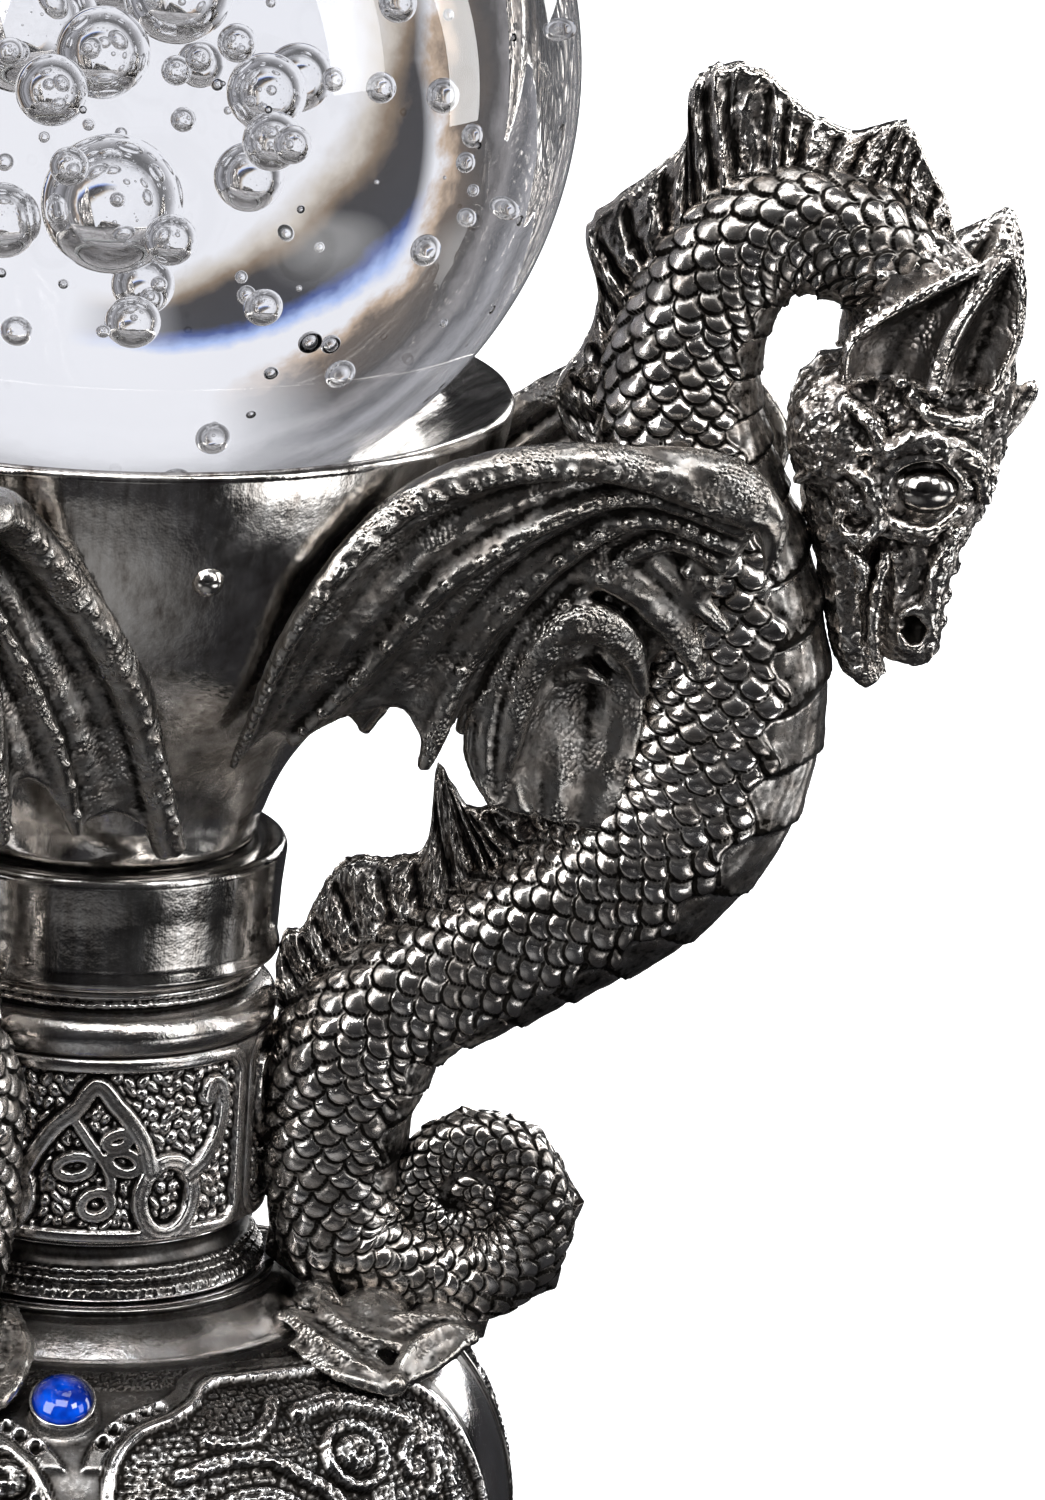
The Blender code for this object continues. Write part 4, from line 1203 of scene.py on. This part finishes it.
def arm_parts():
    """Shoulder and the folded skin between the wing's root and the body, t positive."""
    rows, columns = 48, 70
    p, q = np.linspace(0, 1, columns)[None, :], np.linspace(0, 1, rows)[:, None]
    outer = curve([(44.0, 12.8, 111.0), (41.0, 14.0, 118.0), (43.0, 14.6, 128.0), (49.0, 14.4, 138.0)], rows)
    inner = curve([(57.0, 7.0, 107.0), (60.0, 8.0, 116.0), (61.0, 9.0, 126.0), (62.0, 10.0, 138.0)], rows)
    flat = outer[:, None, :] * (1 - p[..., None]) + inner[:, None, :] * p[..., None]
    folds = 0.55 * (1 + np.cos(TAU * (p * 3.4 + 0.5 * q ** 2))) * (1 - p) ** 0.5
    sunk = 3.2 * np.exp(-((p - 0.62) / 0.22) ** 2 - ((q - 0.52) / 0.22) ** 2)
    flat[..., 1] += folds - sunk
    parts = [sheet(flat, 1.4)]
    tubes = (
        ([(45.0, 12.8, 110.6), (46.0, 14.2, 119.0), (47.8, 15.8, 127.0), (51.4, 16.6, 132.6),
          (55.4, 15.8, 133.2), (58.8, 13.4, 129.6), (60.6, 11.0, 124.0)],
         [0.7, 1.7, 2.0, 2.7, 2.6, 1.9, 0.7], 0.75),
        ([(44.2, 13.4, 111.4), (43.2, 14.4, 118.0), (44.4, 15.4, 126.0), (48.0, 16.0, 134.0),
          (53.0, 15.8, 137.6)], [0.5, 1.2, 1.4, 1.5, 1.2], 1.0),
        ([(47.6, 15.2, 137.6), (53.0, 16.6, 140.4), (59.0, 15.4, 138.0), (64.4, 12.2, 131.6),
          (67.0, 10.4, 126.0)], [1.2, 2.6, 2.6, 2.0, 0.7], 0.7),
        ([(52.0, 15.0, 144.6), (58.0, 15.6, 143.4), (64.0, 14.0, 138.0), (69.6, 11.6, 132.0)],
         [1.4, 2.2, 1.8, 0.7], 0.7),
        ([(58.0, 15.0, 146.0), (64.0, 16.0, 146.6), (70.0, 17.0, 146.4)], [2.6, 2.8, 2.2], 0.9),
        ([(50.0, 10.4, 124.6), (53.2, 11.4, 126.6), (56.6, 10.8, 125.0)], [0.5, 1.3, 0.5], 1.0),
    )
    parts += [smooth_tube(path, radii, 30, 14, flat) for path, radii, flat in tubes]
    for k in range(44):
        across, up, size = (float(hashed(k, seed)) for seed in (2.0, 5.0, 8.0))
        u, z = 47.0 + 18.0 * across, 134.0 + 11.0 * up
        parts.append(ellipsoid((u, 14.6 - 0.12 * (u - 50.0), z), (0.5 + 0.5 * size,) * 3, 7, 9))
    return parts


def wing_parts(fingers, leading):
    """Membrane, finger ribs, claw, shoulder and arm of one wing.  leading is the half width
    of the first finger along its length."""
    across, along = np.linspace(0.0, 4.0, 97), np.linspace(0.03, 1.0, 90)
    between = np.abs(np.sin(math.pi * across))
    grid = wing_grid(fingers, across, along)
    trimmed = np.empty_like(grid)
    for i, sag in enumerate(between):
        places = along * (1.0 - (0.05 if across[i] < 1.0 else 0.17) * sag ** 0.8)
        for k in range(3):
            trimmed[i, :, k] = np.interp(places, along, grid[i, :, k])
    normal = grid_normals(trimmed)
    sway = 0.12 * np.sin(5.0 * along)[None, :]
    fold = 0.5 * (1 + np.cos(TAU * (across[:, None] * 2.5 + 0.5 + sway)))
    fold = fold * np.sin(math.pi * along)[None, :] ** 0.6
    billow = 1.5 * between[:, None] ** 1.2 * np.sin(math.pi * along ** 0.7)[None, :] - 0.8 * fold
    side = np.sign(normal[..., 1:2].mean())
    trimmed = trimmed - normal * side * billow[..., None]
    parts = [sheet(trimmed, 1.25)]
    shares = np.linspace(0, 1, 60)
    for index, finger in enumerate(fingers):
        width = np.interp(shares, [0, 0.4, 0.9, 1.0], [1.3, 1.2, 1.15 + 0.4 * (index == 2), 0.8])
        if index == 0:
            width = np.interp(shares, np.linspace(0, 1, len(leading)), leading)
        parts.append(tube(curve(finger, 60) + np.array((0.0, 0.5, 0.0)), width, 12))
    claw = [(56.0, 24.4, 153.4), (63.0, 23.4, 153.2), (69.4, 22.4, 151.6), (73.4, 21.0, 147.4),
            (73.8, 20.2, 143.6), (73.2, 19.8, 140.6)]
    shoulder = [(57.0, 8.0, 128.0), (62.0, 10.5, 134.0), (67.0, 14.0, 141.0), (70.5, 19.0, 147.0)]
    parts.append(smooth_tube(claw, [1.9, 2.5, 2.7, 2.3, 1.3, 0.25], 30, flat=0.8))
    parts.append(smooth_tube(shoulder, [3.6, 3.4, 2.7, 2.2], 26))
    return parts + arm_parts()


def bead_height(points, fingers, leading):
    """How far the rows of beads along the fingers stand out at each point, in millimetres."""
    tree = KDTree(len(points))
    for index, point in enumerate(points):
        tree.insert(point, index)
    tree.balance()
    height = np.zeros(len(points))
    for index, finger in enumerate(fingers):
        first = index == 0
        count = 64 if first else 18
        for k in range(count):
            s = 0.05 + 0.92 * (k + 0.7 * float(hashed(k, index + 31.0))) / count
            rib, drop = 1.2, 0.0
            if first:
                rib = float(np.interp(s, np.linspace(0, 1, len(leading)), leading))
                drop = rib * (0.35 + 0.7 * (k % 2) * float(hashed(k, 17.0)))
            centre = spline(finger, [s * 4.0])[0] + np.array((0.0, 0.5 + rib * 0.9, -drop))
            size = (0.44 + 0.40 * float(hashed(k, index))) * (1.15 - 0.3 * s)
            for _, nearby, gap in tree.find_range(centre, size):
                rise = 0.7 * size * math.sqrt(1.0 - (gap / size) ** 2)
                height[nearby] = max(height[nearby], rise)
    return height


def build_wing_meshes():
    """The wing on the t-negative side, broad, and the narrower one on the t-positive side."""
    meshes = {}
    for side, fingers, leading in (("a", NEAR_FINGERS, (2.4, 2.3, 1.9, 1.3, 0.6)),
                                   ("b", FAR_FINGERS, (2.3, 2.5, 2.6, 2.5, 2.0))):
        mesh = fuse(f"wing_{side}", wing_parts(fingers, leading), 0.36, 4)
        points = mesh_points(mesh) / MM
        ripple = np.array([0.13 * noise.fractal(Vector(p) * 0.4, 0.9, 2.1, 4) for p in points])
        push(mesh, ripple + bead_height(points, fingers, leading))
        if side == "a":
            mesh.vertices.foreach_set("co", (mesh_points(mesh) * (1.0, -1.0, 1.0)).ravel())
            mesh.flip_normals()
            mesh.update()
        mark_relief(mesh, 5, 36, softness=1.8)
        meshes[side] = mesh
    return meshes


LEAF_THICKNESS = 1.4
LEAF_CUP = 0.55


def leaf_blade(spine, widths, seed=1.0):
    """Pointed leaf with raised rims and a pitted face, along a spine of (u, t, z) points."""
    rows, columns = 60, 17
    path = curve(spine, rows)
    along = np.gradient(path, axis=0)
    along /= np.linalg.norm(along, axis=1, keepdims=True)
    outward = path * (1.0, 1.0, 0.0)
    outward /= np.linalg.norm(outward, axis=1, keepdims=True)
    outward = outward + (0.0, 0.0, 0.9)
    side = np.cross(along, outward)
    side /= np.linalg.norm(side, axis=1, keepdims=True)
    face = np.cross(side, along)
    width = np.interp(np.linspace(0, 1, rows), np.linspace(0, 1, len(widths)), widths)[:, None]
    share = np.linspace(-1, 1, columns)[None, :]
    rise = LEAF_CUP * (share ** 2 - 0.4) + 0.2 * np.exp(-(share / 0.16) ** 2)
    step = np.arange(rows)[:, None]
    rise = rise - 0.45 * np.exp(-((share - 0.45) / 0.3) ** 2) * (np.sin(step * 0.7 + seed) > 0.55)
    grid = path[:, None] + side[:, None] * (width * share)[..., None] + face[:, None] * rise[..., None]
    return sheet(grid, LEAF_THICKNESS)


def leaf_parts():
    """Leaves that carry the coil on the dome, on the side before it."""
    joint = (36.8, -19.2, 44.4)
    return [
        leaf_blade([(23.6, -13.2, 50.4), (28.6, -16.4, 48.6), (32.8, -18.2, 46.8), joint],
                   [0.9, 2.3, 2.2, 0.8]),
        leaf_blade([joint, (39.4, -16.2, 46.4), (42.2, -12.6, 47.6), (45.4, -9.6, 47.8)],
                   [0.9, 2.3, 2.2, 0.6], seed=4.0),
        leaf_blade([(27.0, -11.4, 51.0), (32.0, -14.0, 49.2), (37.8, -13.4, 48.6), (43.0, -8.4, 48.8)],
                   [0.8, 2.6, 2.6, 0.8], seed=2.5),
        leaf_blade([(25.0, -17.0, 48.0), (29.0, -19.6, 46.4), (33.0, -20.4, 45.2), (36.6, -19.8, 44.0)],
                   [0.5, 1.1, 1.1, 0.5], seed=7.0),
        smooth_tube([(26.0, 0.0, 50.4), (34.0, 0.0, 48.6), (41.0, 0.0, 47.4), (46.6, 0.0, 46.4)],
                    [5.0, 4.8, 4.4, 2.6], 24),
        leaf_blade([(24.0, 6.0, 52.6), (29.0, 10.4, 50.0), (35.0, 12.6, 47.0), (41.0, 11.4, 45.0)],
                   [0.6, 2.2, 2.0, 0.6], seed=5.0),
        ellipsoid(joint, (1.7, 1.6, 1.5)),
        ellipsoid((27.0, -8.2, 50.6), (2.6, 3.2, 1.6)),
        ellipsoid((33.6, -8.6, 49.6), (4.0, 4.4, 2.2)),
        ellipsoid((41.0, -7.0, 47.8), (3.6, 4.4, 2.0)),
    ]


def build_leaf_mesh():
    mesh = fuse("tail_leaves", leaf_parts(), 0.36, 3)
    points = mesh_points(mesh) / MM
    push(mesh, np.array([0.16 * noise.fractal(Vector(p) * 0.45, 0.9, 2.0, 3) for p in points]))
    mark_relief(mesh, 4, 30, softness=1.8)
    return mesh


def build_dragons():
    trunk, fins = build_trunk_mesh(), build_fin_mesh()
    head, eyes = build_head_mesh(), build_eye_mesh()
    wings, leaves = build_wing_meshes(), build_leaf_mesh()
    for name, turn in DRAGONS.items():
        place(f"dragon_{name}_body", trunk, SCALE_METAL, turn=turn, nodes=(f"dragon_{name}",))
        place(f"dragon_{name}_head", head, DRAGON_METAL, turn=turn)
        place(f"dragon_{name}_eyes", eyes, POLISHED, turn=turn)
        place(f"dragon_{name}_fins", fins, DRAGON_METAL, turn=turn)
        place(f"tail_leaves_{name}", leaves, WING_METAL, turn=turn)
        for side, mesh in wings.items():
            place(f"dragon_{name}_wing_{side}", mesh, WING_METAL, turn=turn, nodes=(f"wing_{name}_{side}",))


# ---------------------------------------------------------------- glass ball

VIEW_TURN = 4.0           # degrees from the frame's front to the side the camera is on
GLASS_INDEX = 1.5
BUBBLE_COUNT = 190
BUBBLE_SEED = 12

# The larger bubbles: apparent right and up, depth towards the viewer, apparent radius.
LARGE_BUBBLES = [
    (-1.4, -15.6, 4.0, 8.0), (5.2, -19.4, 12.0, 3.0), (-6.2, -11.6, 14.0, 2.2), (2.4, -24.6, -2.0, 3.6),
    (1.4, -29.2, 10.0, 3.2), (16.2, -27.2, 14.0, 2.3), (-11.8, -31.0, 8.0, 1.9), (-13.6, -18.0, 6.0, 4.4),
    (15.2, -2.6, 6.0, 4.5), (19.0, -0.6, -8.0, 4.0), (16.0, -8.0, 14.0, 3.4), (13.8, -12.0, -4.0, 4.0),
    (18.2, -8.4, 22.0, 2.2), (22.6, -1.0, 16.0, 1.4), (11.6, 2.6, 14.0, 2.2), (8.0, 0.6, -14.0, 2.8),
    (36.0, -2.2, 4.0, 2.1), (35.4, -20.4, 4.0, 2.0), (26.6, -36.2, 6.0, 2.0), (25.0, -32.4, 16.0, 1.3),
    (-11.8, 4.6, -6.0, 8.5), (-3.0, 1.0, 10.0, 5.2), (-8.4, -3.4, 18.0, 4.0), (5.0, 8.4, 2.0, 6.2),
    (-2.0, 12.0, -12.0, 7.0), (-14.0, 14.0, 8.0, 6.0), (-24.0, -6.0, 2.0, 4.2), (-28.0, -22.0, 6.0, 3.0),
    (-30.0, 8.0, 10.0, 5.0), (-22.0, 22.0, -4.0, 4.4), (10.0, 26.0, 8.0, 3.6), (24.0, 18.0, -6.0, 4.8),
    (30.0, 8.0, 14.0, 2.4), (40.4, -6.8, 6.0, 1.5), (39.4, -9.8, 0.0, 1.3), (6.0, -6.0, 16.0, 1.4),
]


def magnification(painted_rim_shade, radius):
    """How much larger a point inside the ball looks at a given distance in front of its centre."""
    below_surface = radius - painted_rim_shade
    image = 1.0 / (GLASS_INDEX / below_surface - (GLASS_INDEX - 1.0) / radius)
    return GLASS_INDEX * image / below_surface


def bubble_list(radius):
    """Centres and radii in the ball's own axes, millimetres."""
    turn = math.radians(VIEW_TURN)
    right = np.array((math.cos(turn), math.sin(turn), 0.0))
    toward = np.array((math.sin(turn), -math.cos(turn), 0.21))
    toward /= np.linalg.norm(toward)
    up = np.cross(right, -toward)
    bubbles = []
    for x, y, painted_rim_shade, size in LARGE_BUBBLES:
        growth = magnification(painted_rim_shade, radius)
        centre = (right * x + up * y) / growth + toward * painted_rim_shade
        bubbles.append((centre, size / growth))
    random = np.random.default_rng(BUBBLE_SEED)
    while len(bubbles) < BUBBLE_COUNT:
        centre = random.normal(size=3) * radius * 0.5
        size = float(np.clip(random.lognormal(-0.75, 0.55), 0.16, 1.3))
        if np.linalg.norm(centre) > radius - size - 2.0:
            continue
        if all(np.linalg.norm(centre - other) > size + reach + 0.15 for other, reach in bubbles):
            bubbles.append((centre, size))
    return bubbles


def build_ball():
    """Clear ball whose trapped bubbles are closed inner surfaces facing into the air."""
    low, high = span("crystal_ball")
    centre, radius = (low + high) / 2, (high[2] - low[2]) / 2
    parts = [ellipsoid((0, 0, 0), (radius,) * 3, 130, 220)]
    for middle, size in bubble_list(radius):
        rows = 40 if size > 2.5 else 22 if size > 0.9 else 12
        points, faces = ellipsoid(middle, (size, size, size * 0.985), rows, rows + 6)
        parts.append((points, [face[::-1] for face in faces]))
    points, faces = join_parts(parts)
    mesh = new_mesh("bubble_ball", points + centre, faces)
    place("bubble_ball", mesh, GLASS, body="ball", nodes=("crystal_ball",))


def build_seat():
    low, high = span("seat_ring")
    tube_r = (high[2] - low[2]) / 2
    middle_r, middle_z = high[0] - tube_r, (high[2] + low[2]) / 2
    section = [(middle_r + tube_r * math.cos(a), middle_z + tube_r * math.sin(a))
               for a in np.linspace(0, -TAU, 21)[:-1]]
    mesh = new_mesh("soft_seat", *turned(section, 120))
    place("soft_seat", mesh, RING, body="seat", nodes=("seat_ring",))


# ---------------------------------------------------------------- studio

def facing(azimuth, elevation):
    """Direction by degrees to the right of the camera, seen from the object, and degrees up."""
    turn, rise = math.radians(azimuth - 90.0 + VIEW_TURN), math.radians(elevation)
    return Vector((math.cos(turn) * math.cos(rise), math.sin(turn) * math.cos(rise), math.sin(rise)))


def glass_view(nodes, direction):
    """Colour that glass sees in a direction."""
    group = nodes.add("ShaderNodeGroup", node_tree=bpy.data.node_groups["surroundings"])
    nodes.link(direction, group.inputs["Direction"])
    return group.outputs["Color"]


def by_ray(nodes, sight, glass, mirror):
    """Shader that differs for plain sight and light, rays through glass and reflections."""
    path = nodes.add("ShaderNodeLightPath")
    through = path.outputs["Is Transmission Ray"]
    seen = nodes.add("ShaderNodeMixShader", {0: through, 1: sight, 2: glass})
    share = nodes.math("SUBTRACT", path.outputs["Is Glossy Ray"], through)
    mix = nodes.add("ShaderNodeMixShader", {0: share, 1: seen.outputs[0], 2: mirror})
    output = next(n for n in nodes.tree.nodes if n.type.startswith("OUTPUT_"))
    nodes.link(mix.outputs[0], output.inputs[0])


FLOOR_SIZE = 2.2
FLOOR_GLOWS = (           # azimuth, distance from the column in metres, strength
    (54.0, 0.34, 4.5), (-50.0, 0.30, 1.8), (104.0, 0.34, 2.5), (5.0, 0.62, 0.6),
    (-12.0, 0.14, 0.30))


def build_floor():
    """Pale floor; metal sees it dark, with bright patches where lights fall on it."""
    corners = [(x * FLOOR_SIZE, y * FLOOR_SIZE, 0) for x, y in ((-1, -1), (1, -1), (1, 1), (-1, 1))]
    mesh = bpy.data.meshes.new("floor")
    mesh.from_pydata(corners, [], [(0, 1, 2, 3)])
    floor = bpy.data.objects.new("floor", mesh)
    bpy.context.scene.collection.objects.link(floor)
    nodes = Nodes("floor")
    nodes.set(Base_Color=(0.9, 0.9, 0.91, 1.0), Roughness=0.9)
    mesh.materials.append(nodes.material)
    spot = nodes.add("ShaderNodeTexCoord").outputs["Object"]
    glow = 0.0
    for azimuth, reach, strength in FLOOR_GLOWS:
        gap = nodes.add("ShaderNodeVectorMath", {0: spot, 1: facing(azimuth, 0.0) * reach},
                        operation="DISTANCE").outputs["Value"]
        glow = nodes.math("ADD", glow, nodes.remap(gap, 0.04, 0.12, strength, 0.0))
    patches = nodes.add("ShaderNodeEmission", {"Color": (1.0, 1.0, 1.0, 1.0), "Strength": glow})
    dim = nodes.add("ShaderNodeBsdfDiffuse", {"Color": (0.014, 0.014, 0.015, 1.0)})
    mirror = nodes.add("ShaderNodeAddShader", {0: dim.outputs[0], 1: patches.outputs[0]})
    back = nodes.add("ShaderNodeNewGeometry").outputs["Incoming"]
    ray = nodes.add("ShaderNodeVectorMath", {0: back, 1: (-1.0, -1.0, -1.0)}, operation="MULTIPLY")
    glass = nodes.add("ShaderNodeEmission", {"Color": glass_view(nodes, ray.outputs["Vector"])})
    by_ray(nodes, nodes.shader.outputs[0], glass.outputs[0], mirror.outputs[0])


LIGHT_DISTANCE = 1.1
LIGHT_TARGET = Vector((0.03, 0.0, 0.12))


def area_light(name, azimuth, elevation, size, radiance):
    """Soft box of even brightness aimed at the object."""
    data = bpy.data.lights.new(name, "AREA")
    data.shape = "RECTANGLE"
    data.size, data.size_y = size
    data.energy = radiance * math.pi * size[0] * size[1]
    light = bpy.data.objects.new(name, data)
    bpy.context.scene.collection.objects.link(light)
    direction = facing(azimuth, elevation)
    light.location = LIGHT_TARGET + direction * LIGHT_DISTANCE
    light.rotation_euler = direction.to_track_quat("Z", "Y").to_euler()
    light.visible_transmission = False


class LooseNodes(Nodes):
    """The same short way for any other node tree."""

    def __init__(self, tree):
        self.tree = tree


def build_surroundings():
    """Node group: what glass sees in a given direction.  White, with the room's dark edges
    that a ball of glass bends into a crescent with coloured fringes."""
    tree = bpy.data.node_groups.new("surroundings", "ShaderNodeTree")
    tree.interface.new_socket("Direction", in_out="INPUT", socket_type="NodeSocketVector")
    tree.interface.new_socket("Color", in_out="OUTPUT", socket_type="NodeSocketColor")
    nodes = LooseNodes(tree)
    direction = nodes.add("NodeGroupInput").outputs["Direction"]
    forward = -facing(0.0, 15.4)
    right = forward.cross(Vector((0, 0, 1))).normalized()
    up = right.cross(forward)

    def along(axis):
        node = nodes.add("ShaderNodeVectorMath", {0: direction, 1: axis}, operation="DOT_PRODUCT")
        return node.outputs["Value"]

    def between(value, low, full, high, end):
        rise = nodes.remap(value, low, full, 0.0, 1.0)
        fall = nodes.remap(value, high, end, 1.0, 0.0)
        return nodes.math("MULTIPLY", rise, fall)

    def blend(share, first, second):
        node = nodes.add("ShaderNodeMix", {0: share, 6: first, 7: second}, data_type="RGBA")
        return node.outputs[2]

    x, y, z = along(right), along(up), along(forward)
    away = nodes.math("MULTIPLY", nodes.math("ARCCOSINE", z), 180.0 / math.pi)
    around = nodes.math("MULTIPLY", nodes.math("ARCTAN2", nodes.math("MULTIPLY", y, -1.0),
                                               nodes.math("MULTIPLY", x, -1.0)), 180.0 / math.pi)
    ripple = nodes.add("ShaderNodeTexNoise", {"Vector": direction, "Scale": 7.0, "Detail": 5.0,
                                              "Roughness": 0.65}).outputs["Fac"]
    ripple = nodes.math("SUBTRACT", ripple, 0.5)
    white = (0.86, 0.87, 0.93)

    middle = nodes.remap(around, -60.0, 15.0, 27.5, 33.0)
    half = nodes.remap(around, -92.0, 5.0, 2.2, 8.0)
    across = nodes.math("DIVIDE", nodes.math("SUBTRACT", away, middle), half)
    across = nodes.math("ADD", across, nodes.math("MULTIPLY", ripple, 1.1))
    crescent = nodes.ramp(nodes.remap(across, -2.0, 2.0, 0.0, 1.0), [
        (0.08, white), (0.20, (0.60, 0.55, 0.50)), (0.29, (0.24, 0.18, 0.13)),
        (0.38, (0.045, 0.042, 0.045)), (0.62, (0.04, 0.041, 0.05)), (0.70, (0.07, 0.11, 0.32)),
        (0.79, (0.42, 0.55, 0.92)), (0.88, white)])
    inner = nodes.remap(around, -40.0, -5.0, 0.0, 9.0)
    outside = nodes.math("ADD", nodes.math("ADD", away, inner), nodes.math("MULTIPLY", ripple, 14.0))
    outside = nodes.remap(outside, 36.0, 96.0, 0.0, 1.0)
    limb = nodes.ramp(outside, [
        (0.02, white), (0.06, (0.55, 0.42, 0.32)), (0.10, (0.14, 0.11, 0.09)), (0.22, (0.06, 0.055, 0.055)),
        (0.29, (0.26, 0.25, 0.26)), (0.36, (0.09, 0.09, 0.10)), (0.46, (0.34, 0.34, 0.37)),
        (0.54, (0.12, 0.12, 0.13)), (0.70, (0.40, 0.40, 0.44)), (1.0, (0.14, 0.14, 0.15))])
    plain = nodes.ramp(outside, [(0.25, white), (0.5, (0.42, 0.42, 0.45)), (0.8, (0.16, 0.16, 0.17))])
    sky = blend(between(around, -100.0, -78.0, 40.0, 60.0), (*white, 1.0), crescent)
    outer = blend(between(around, -76.0, -58.0, 130.0, 150.0), plain, limb)
    beyond = nodes.remap(nodes.math("ADD", away, inner), 35.5, 38.0, 0.0, 1.0)
    output = nodes.add("NodeGroupOutput")
    behind = nodes.remap(away, 102.0, 124.0, 0.0, 1.0)
    nodes.link(blend(behind, blend(beyond, sky, outer), (*white, 1.0)), output.inputs["Color"])


def build_world():
    """White for sight and for the floor's light; a dim studio in the metal's reflections."""
    world = bpy.data.worlds.new("studio")
    bpy.context.scene.world = world
    world.use_nodes = True
    nodes = LooseNodes(world.node_tree)
    glass = next(n for n in nodes.tree.nodes if n.type == "BACKGROUND")
    direction = nodes.add("ShaderNodeTexCoord").outputs["Generated"]
    nodes.link(glass_view(nodes, direction), glass.inputs["Color"])
    sight = nodes.add("ShaderNodeBackground", {"Color": (0.97, 0.98, 1.0, 1.0)})
    height = nodes.add("ShaderNodeSeparateXYZ", {0: direction}).outputs["Z"]
    studio = nodes.ramp(nodes.remap(height, -0.1, 1.0, 0.0, 1.0),
                        [(0.1, (0.009, 0.009, 0.010)), (0.9, (0.10, 0.10, 0.105))])
    mirror = nodes.add("ShaderNodeBackground", {"Color": studio})
    by_ray(nodes, sight.outputs[0], glass.outputs[0], mirror.outputs[0])


def build_lights():
    area_light("key", 36.0, 44.0, (0.26, 0.30), 16.0)
    area_light("left_box", -48.0, 30.0, (0.50, 0.85), 8.5)
    area_light("right_box", 58.0, 22.0, (0.30, 0.65), 5.0)
    area_light("front_box", -10.0, 56.0, (0.50, 0.36), 8.5)
    area_light("right_strip", 92.0, 16.0, (0.22, 0.85), 9.0)
    area_light("top_box", -10.0, 86.0, (0.50, 0.40), 4.0)
    area_light("back_right", 145.0, 45.0, (0.40, 0.50), 6.0)
    area_light("low_right", 146.0, 12.0, (0.50, 0.40), 6.0)
    area_light("low_left", -146.0, 14.0, (0.50, 0.40), 5.0)
    area_light("back_left", -125.0, 30.0, (0.40, 0.80), 7.0)


CAMERA_PLACE = Vector((0.0, -1.0, 0.3889))
CAMERA_YAW, CAMERA_PITCH, CAMERA_ROLL = (math.radians(a) for a in (2.7035, 15.4067, 2.8671))
LENS, SENSOR = 220.356, 36.0          # millimetres, the sensor's along the picture's height


def build_camera():
    """Long lens about a metre away, looking down on the right half of the object."""
    forward = Vector((math.sin(CAMERA_YAW) * math.cos(CAMERA_PITCH),
                      math.cos(CAMERA_YAW) * math.cos(CAMERA_PITCH), -math.sin(CAMERA_PITCH)))
    right = forward.cross(Vector((0, 0, 1))).normalized()
    up = right.cross(forward)
    rolled_right = right * math.cos(CAMERA_ROLL) + up * math.sin(CAMERA_ROLL)
    rolled_up = up * math.cos(CAMERA_ROLL) - right * math.sin(CAMERA_ROLL)
    basis = Matrix((rolled_right, rolled_up, -forward)).transposed().to_4x4()
    data = bpy.data.cameras.new("camera")
    data.lens = LENS
    data.sensor_width = SENSOR
    data.clip_end = 20.0
    camera = bpy.data.objects.new("camera", data)
    bpy.context.scene.collection.objects.link(camera)
    turn = Matrix.Rotation(math.radians(VIEW_TURN), 4, "Z")
    camera.matrix_world = turn @ Matrix.Translation(CAMERA_PLACE) @ basis
    bpy.context.scene.camera = camera


def main():
    build_pad()
    build_base()
    build_waist()
    build_drum()
    build_collar()
    build_cup()
    build_gems()
    build_seat()
    build_ball()
    build_dragons()
    build_surroundings()
    build_floor()
    build_world()
    build_lights()
    build_camera()
    bpy.context.scene.view_settings.view_transform = "Standard"


main()
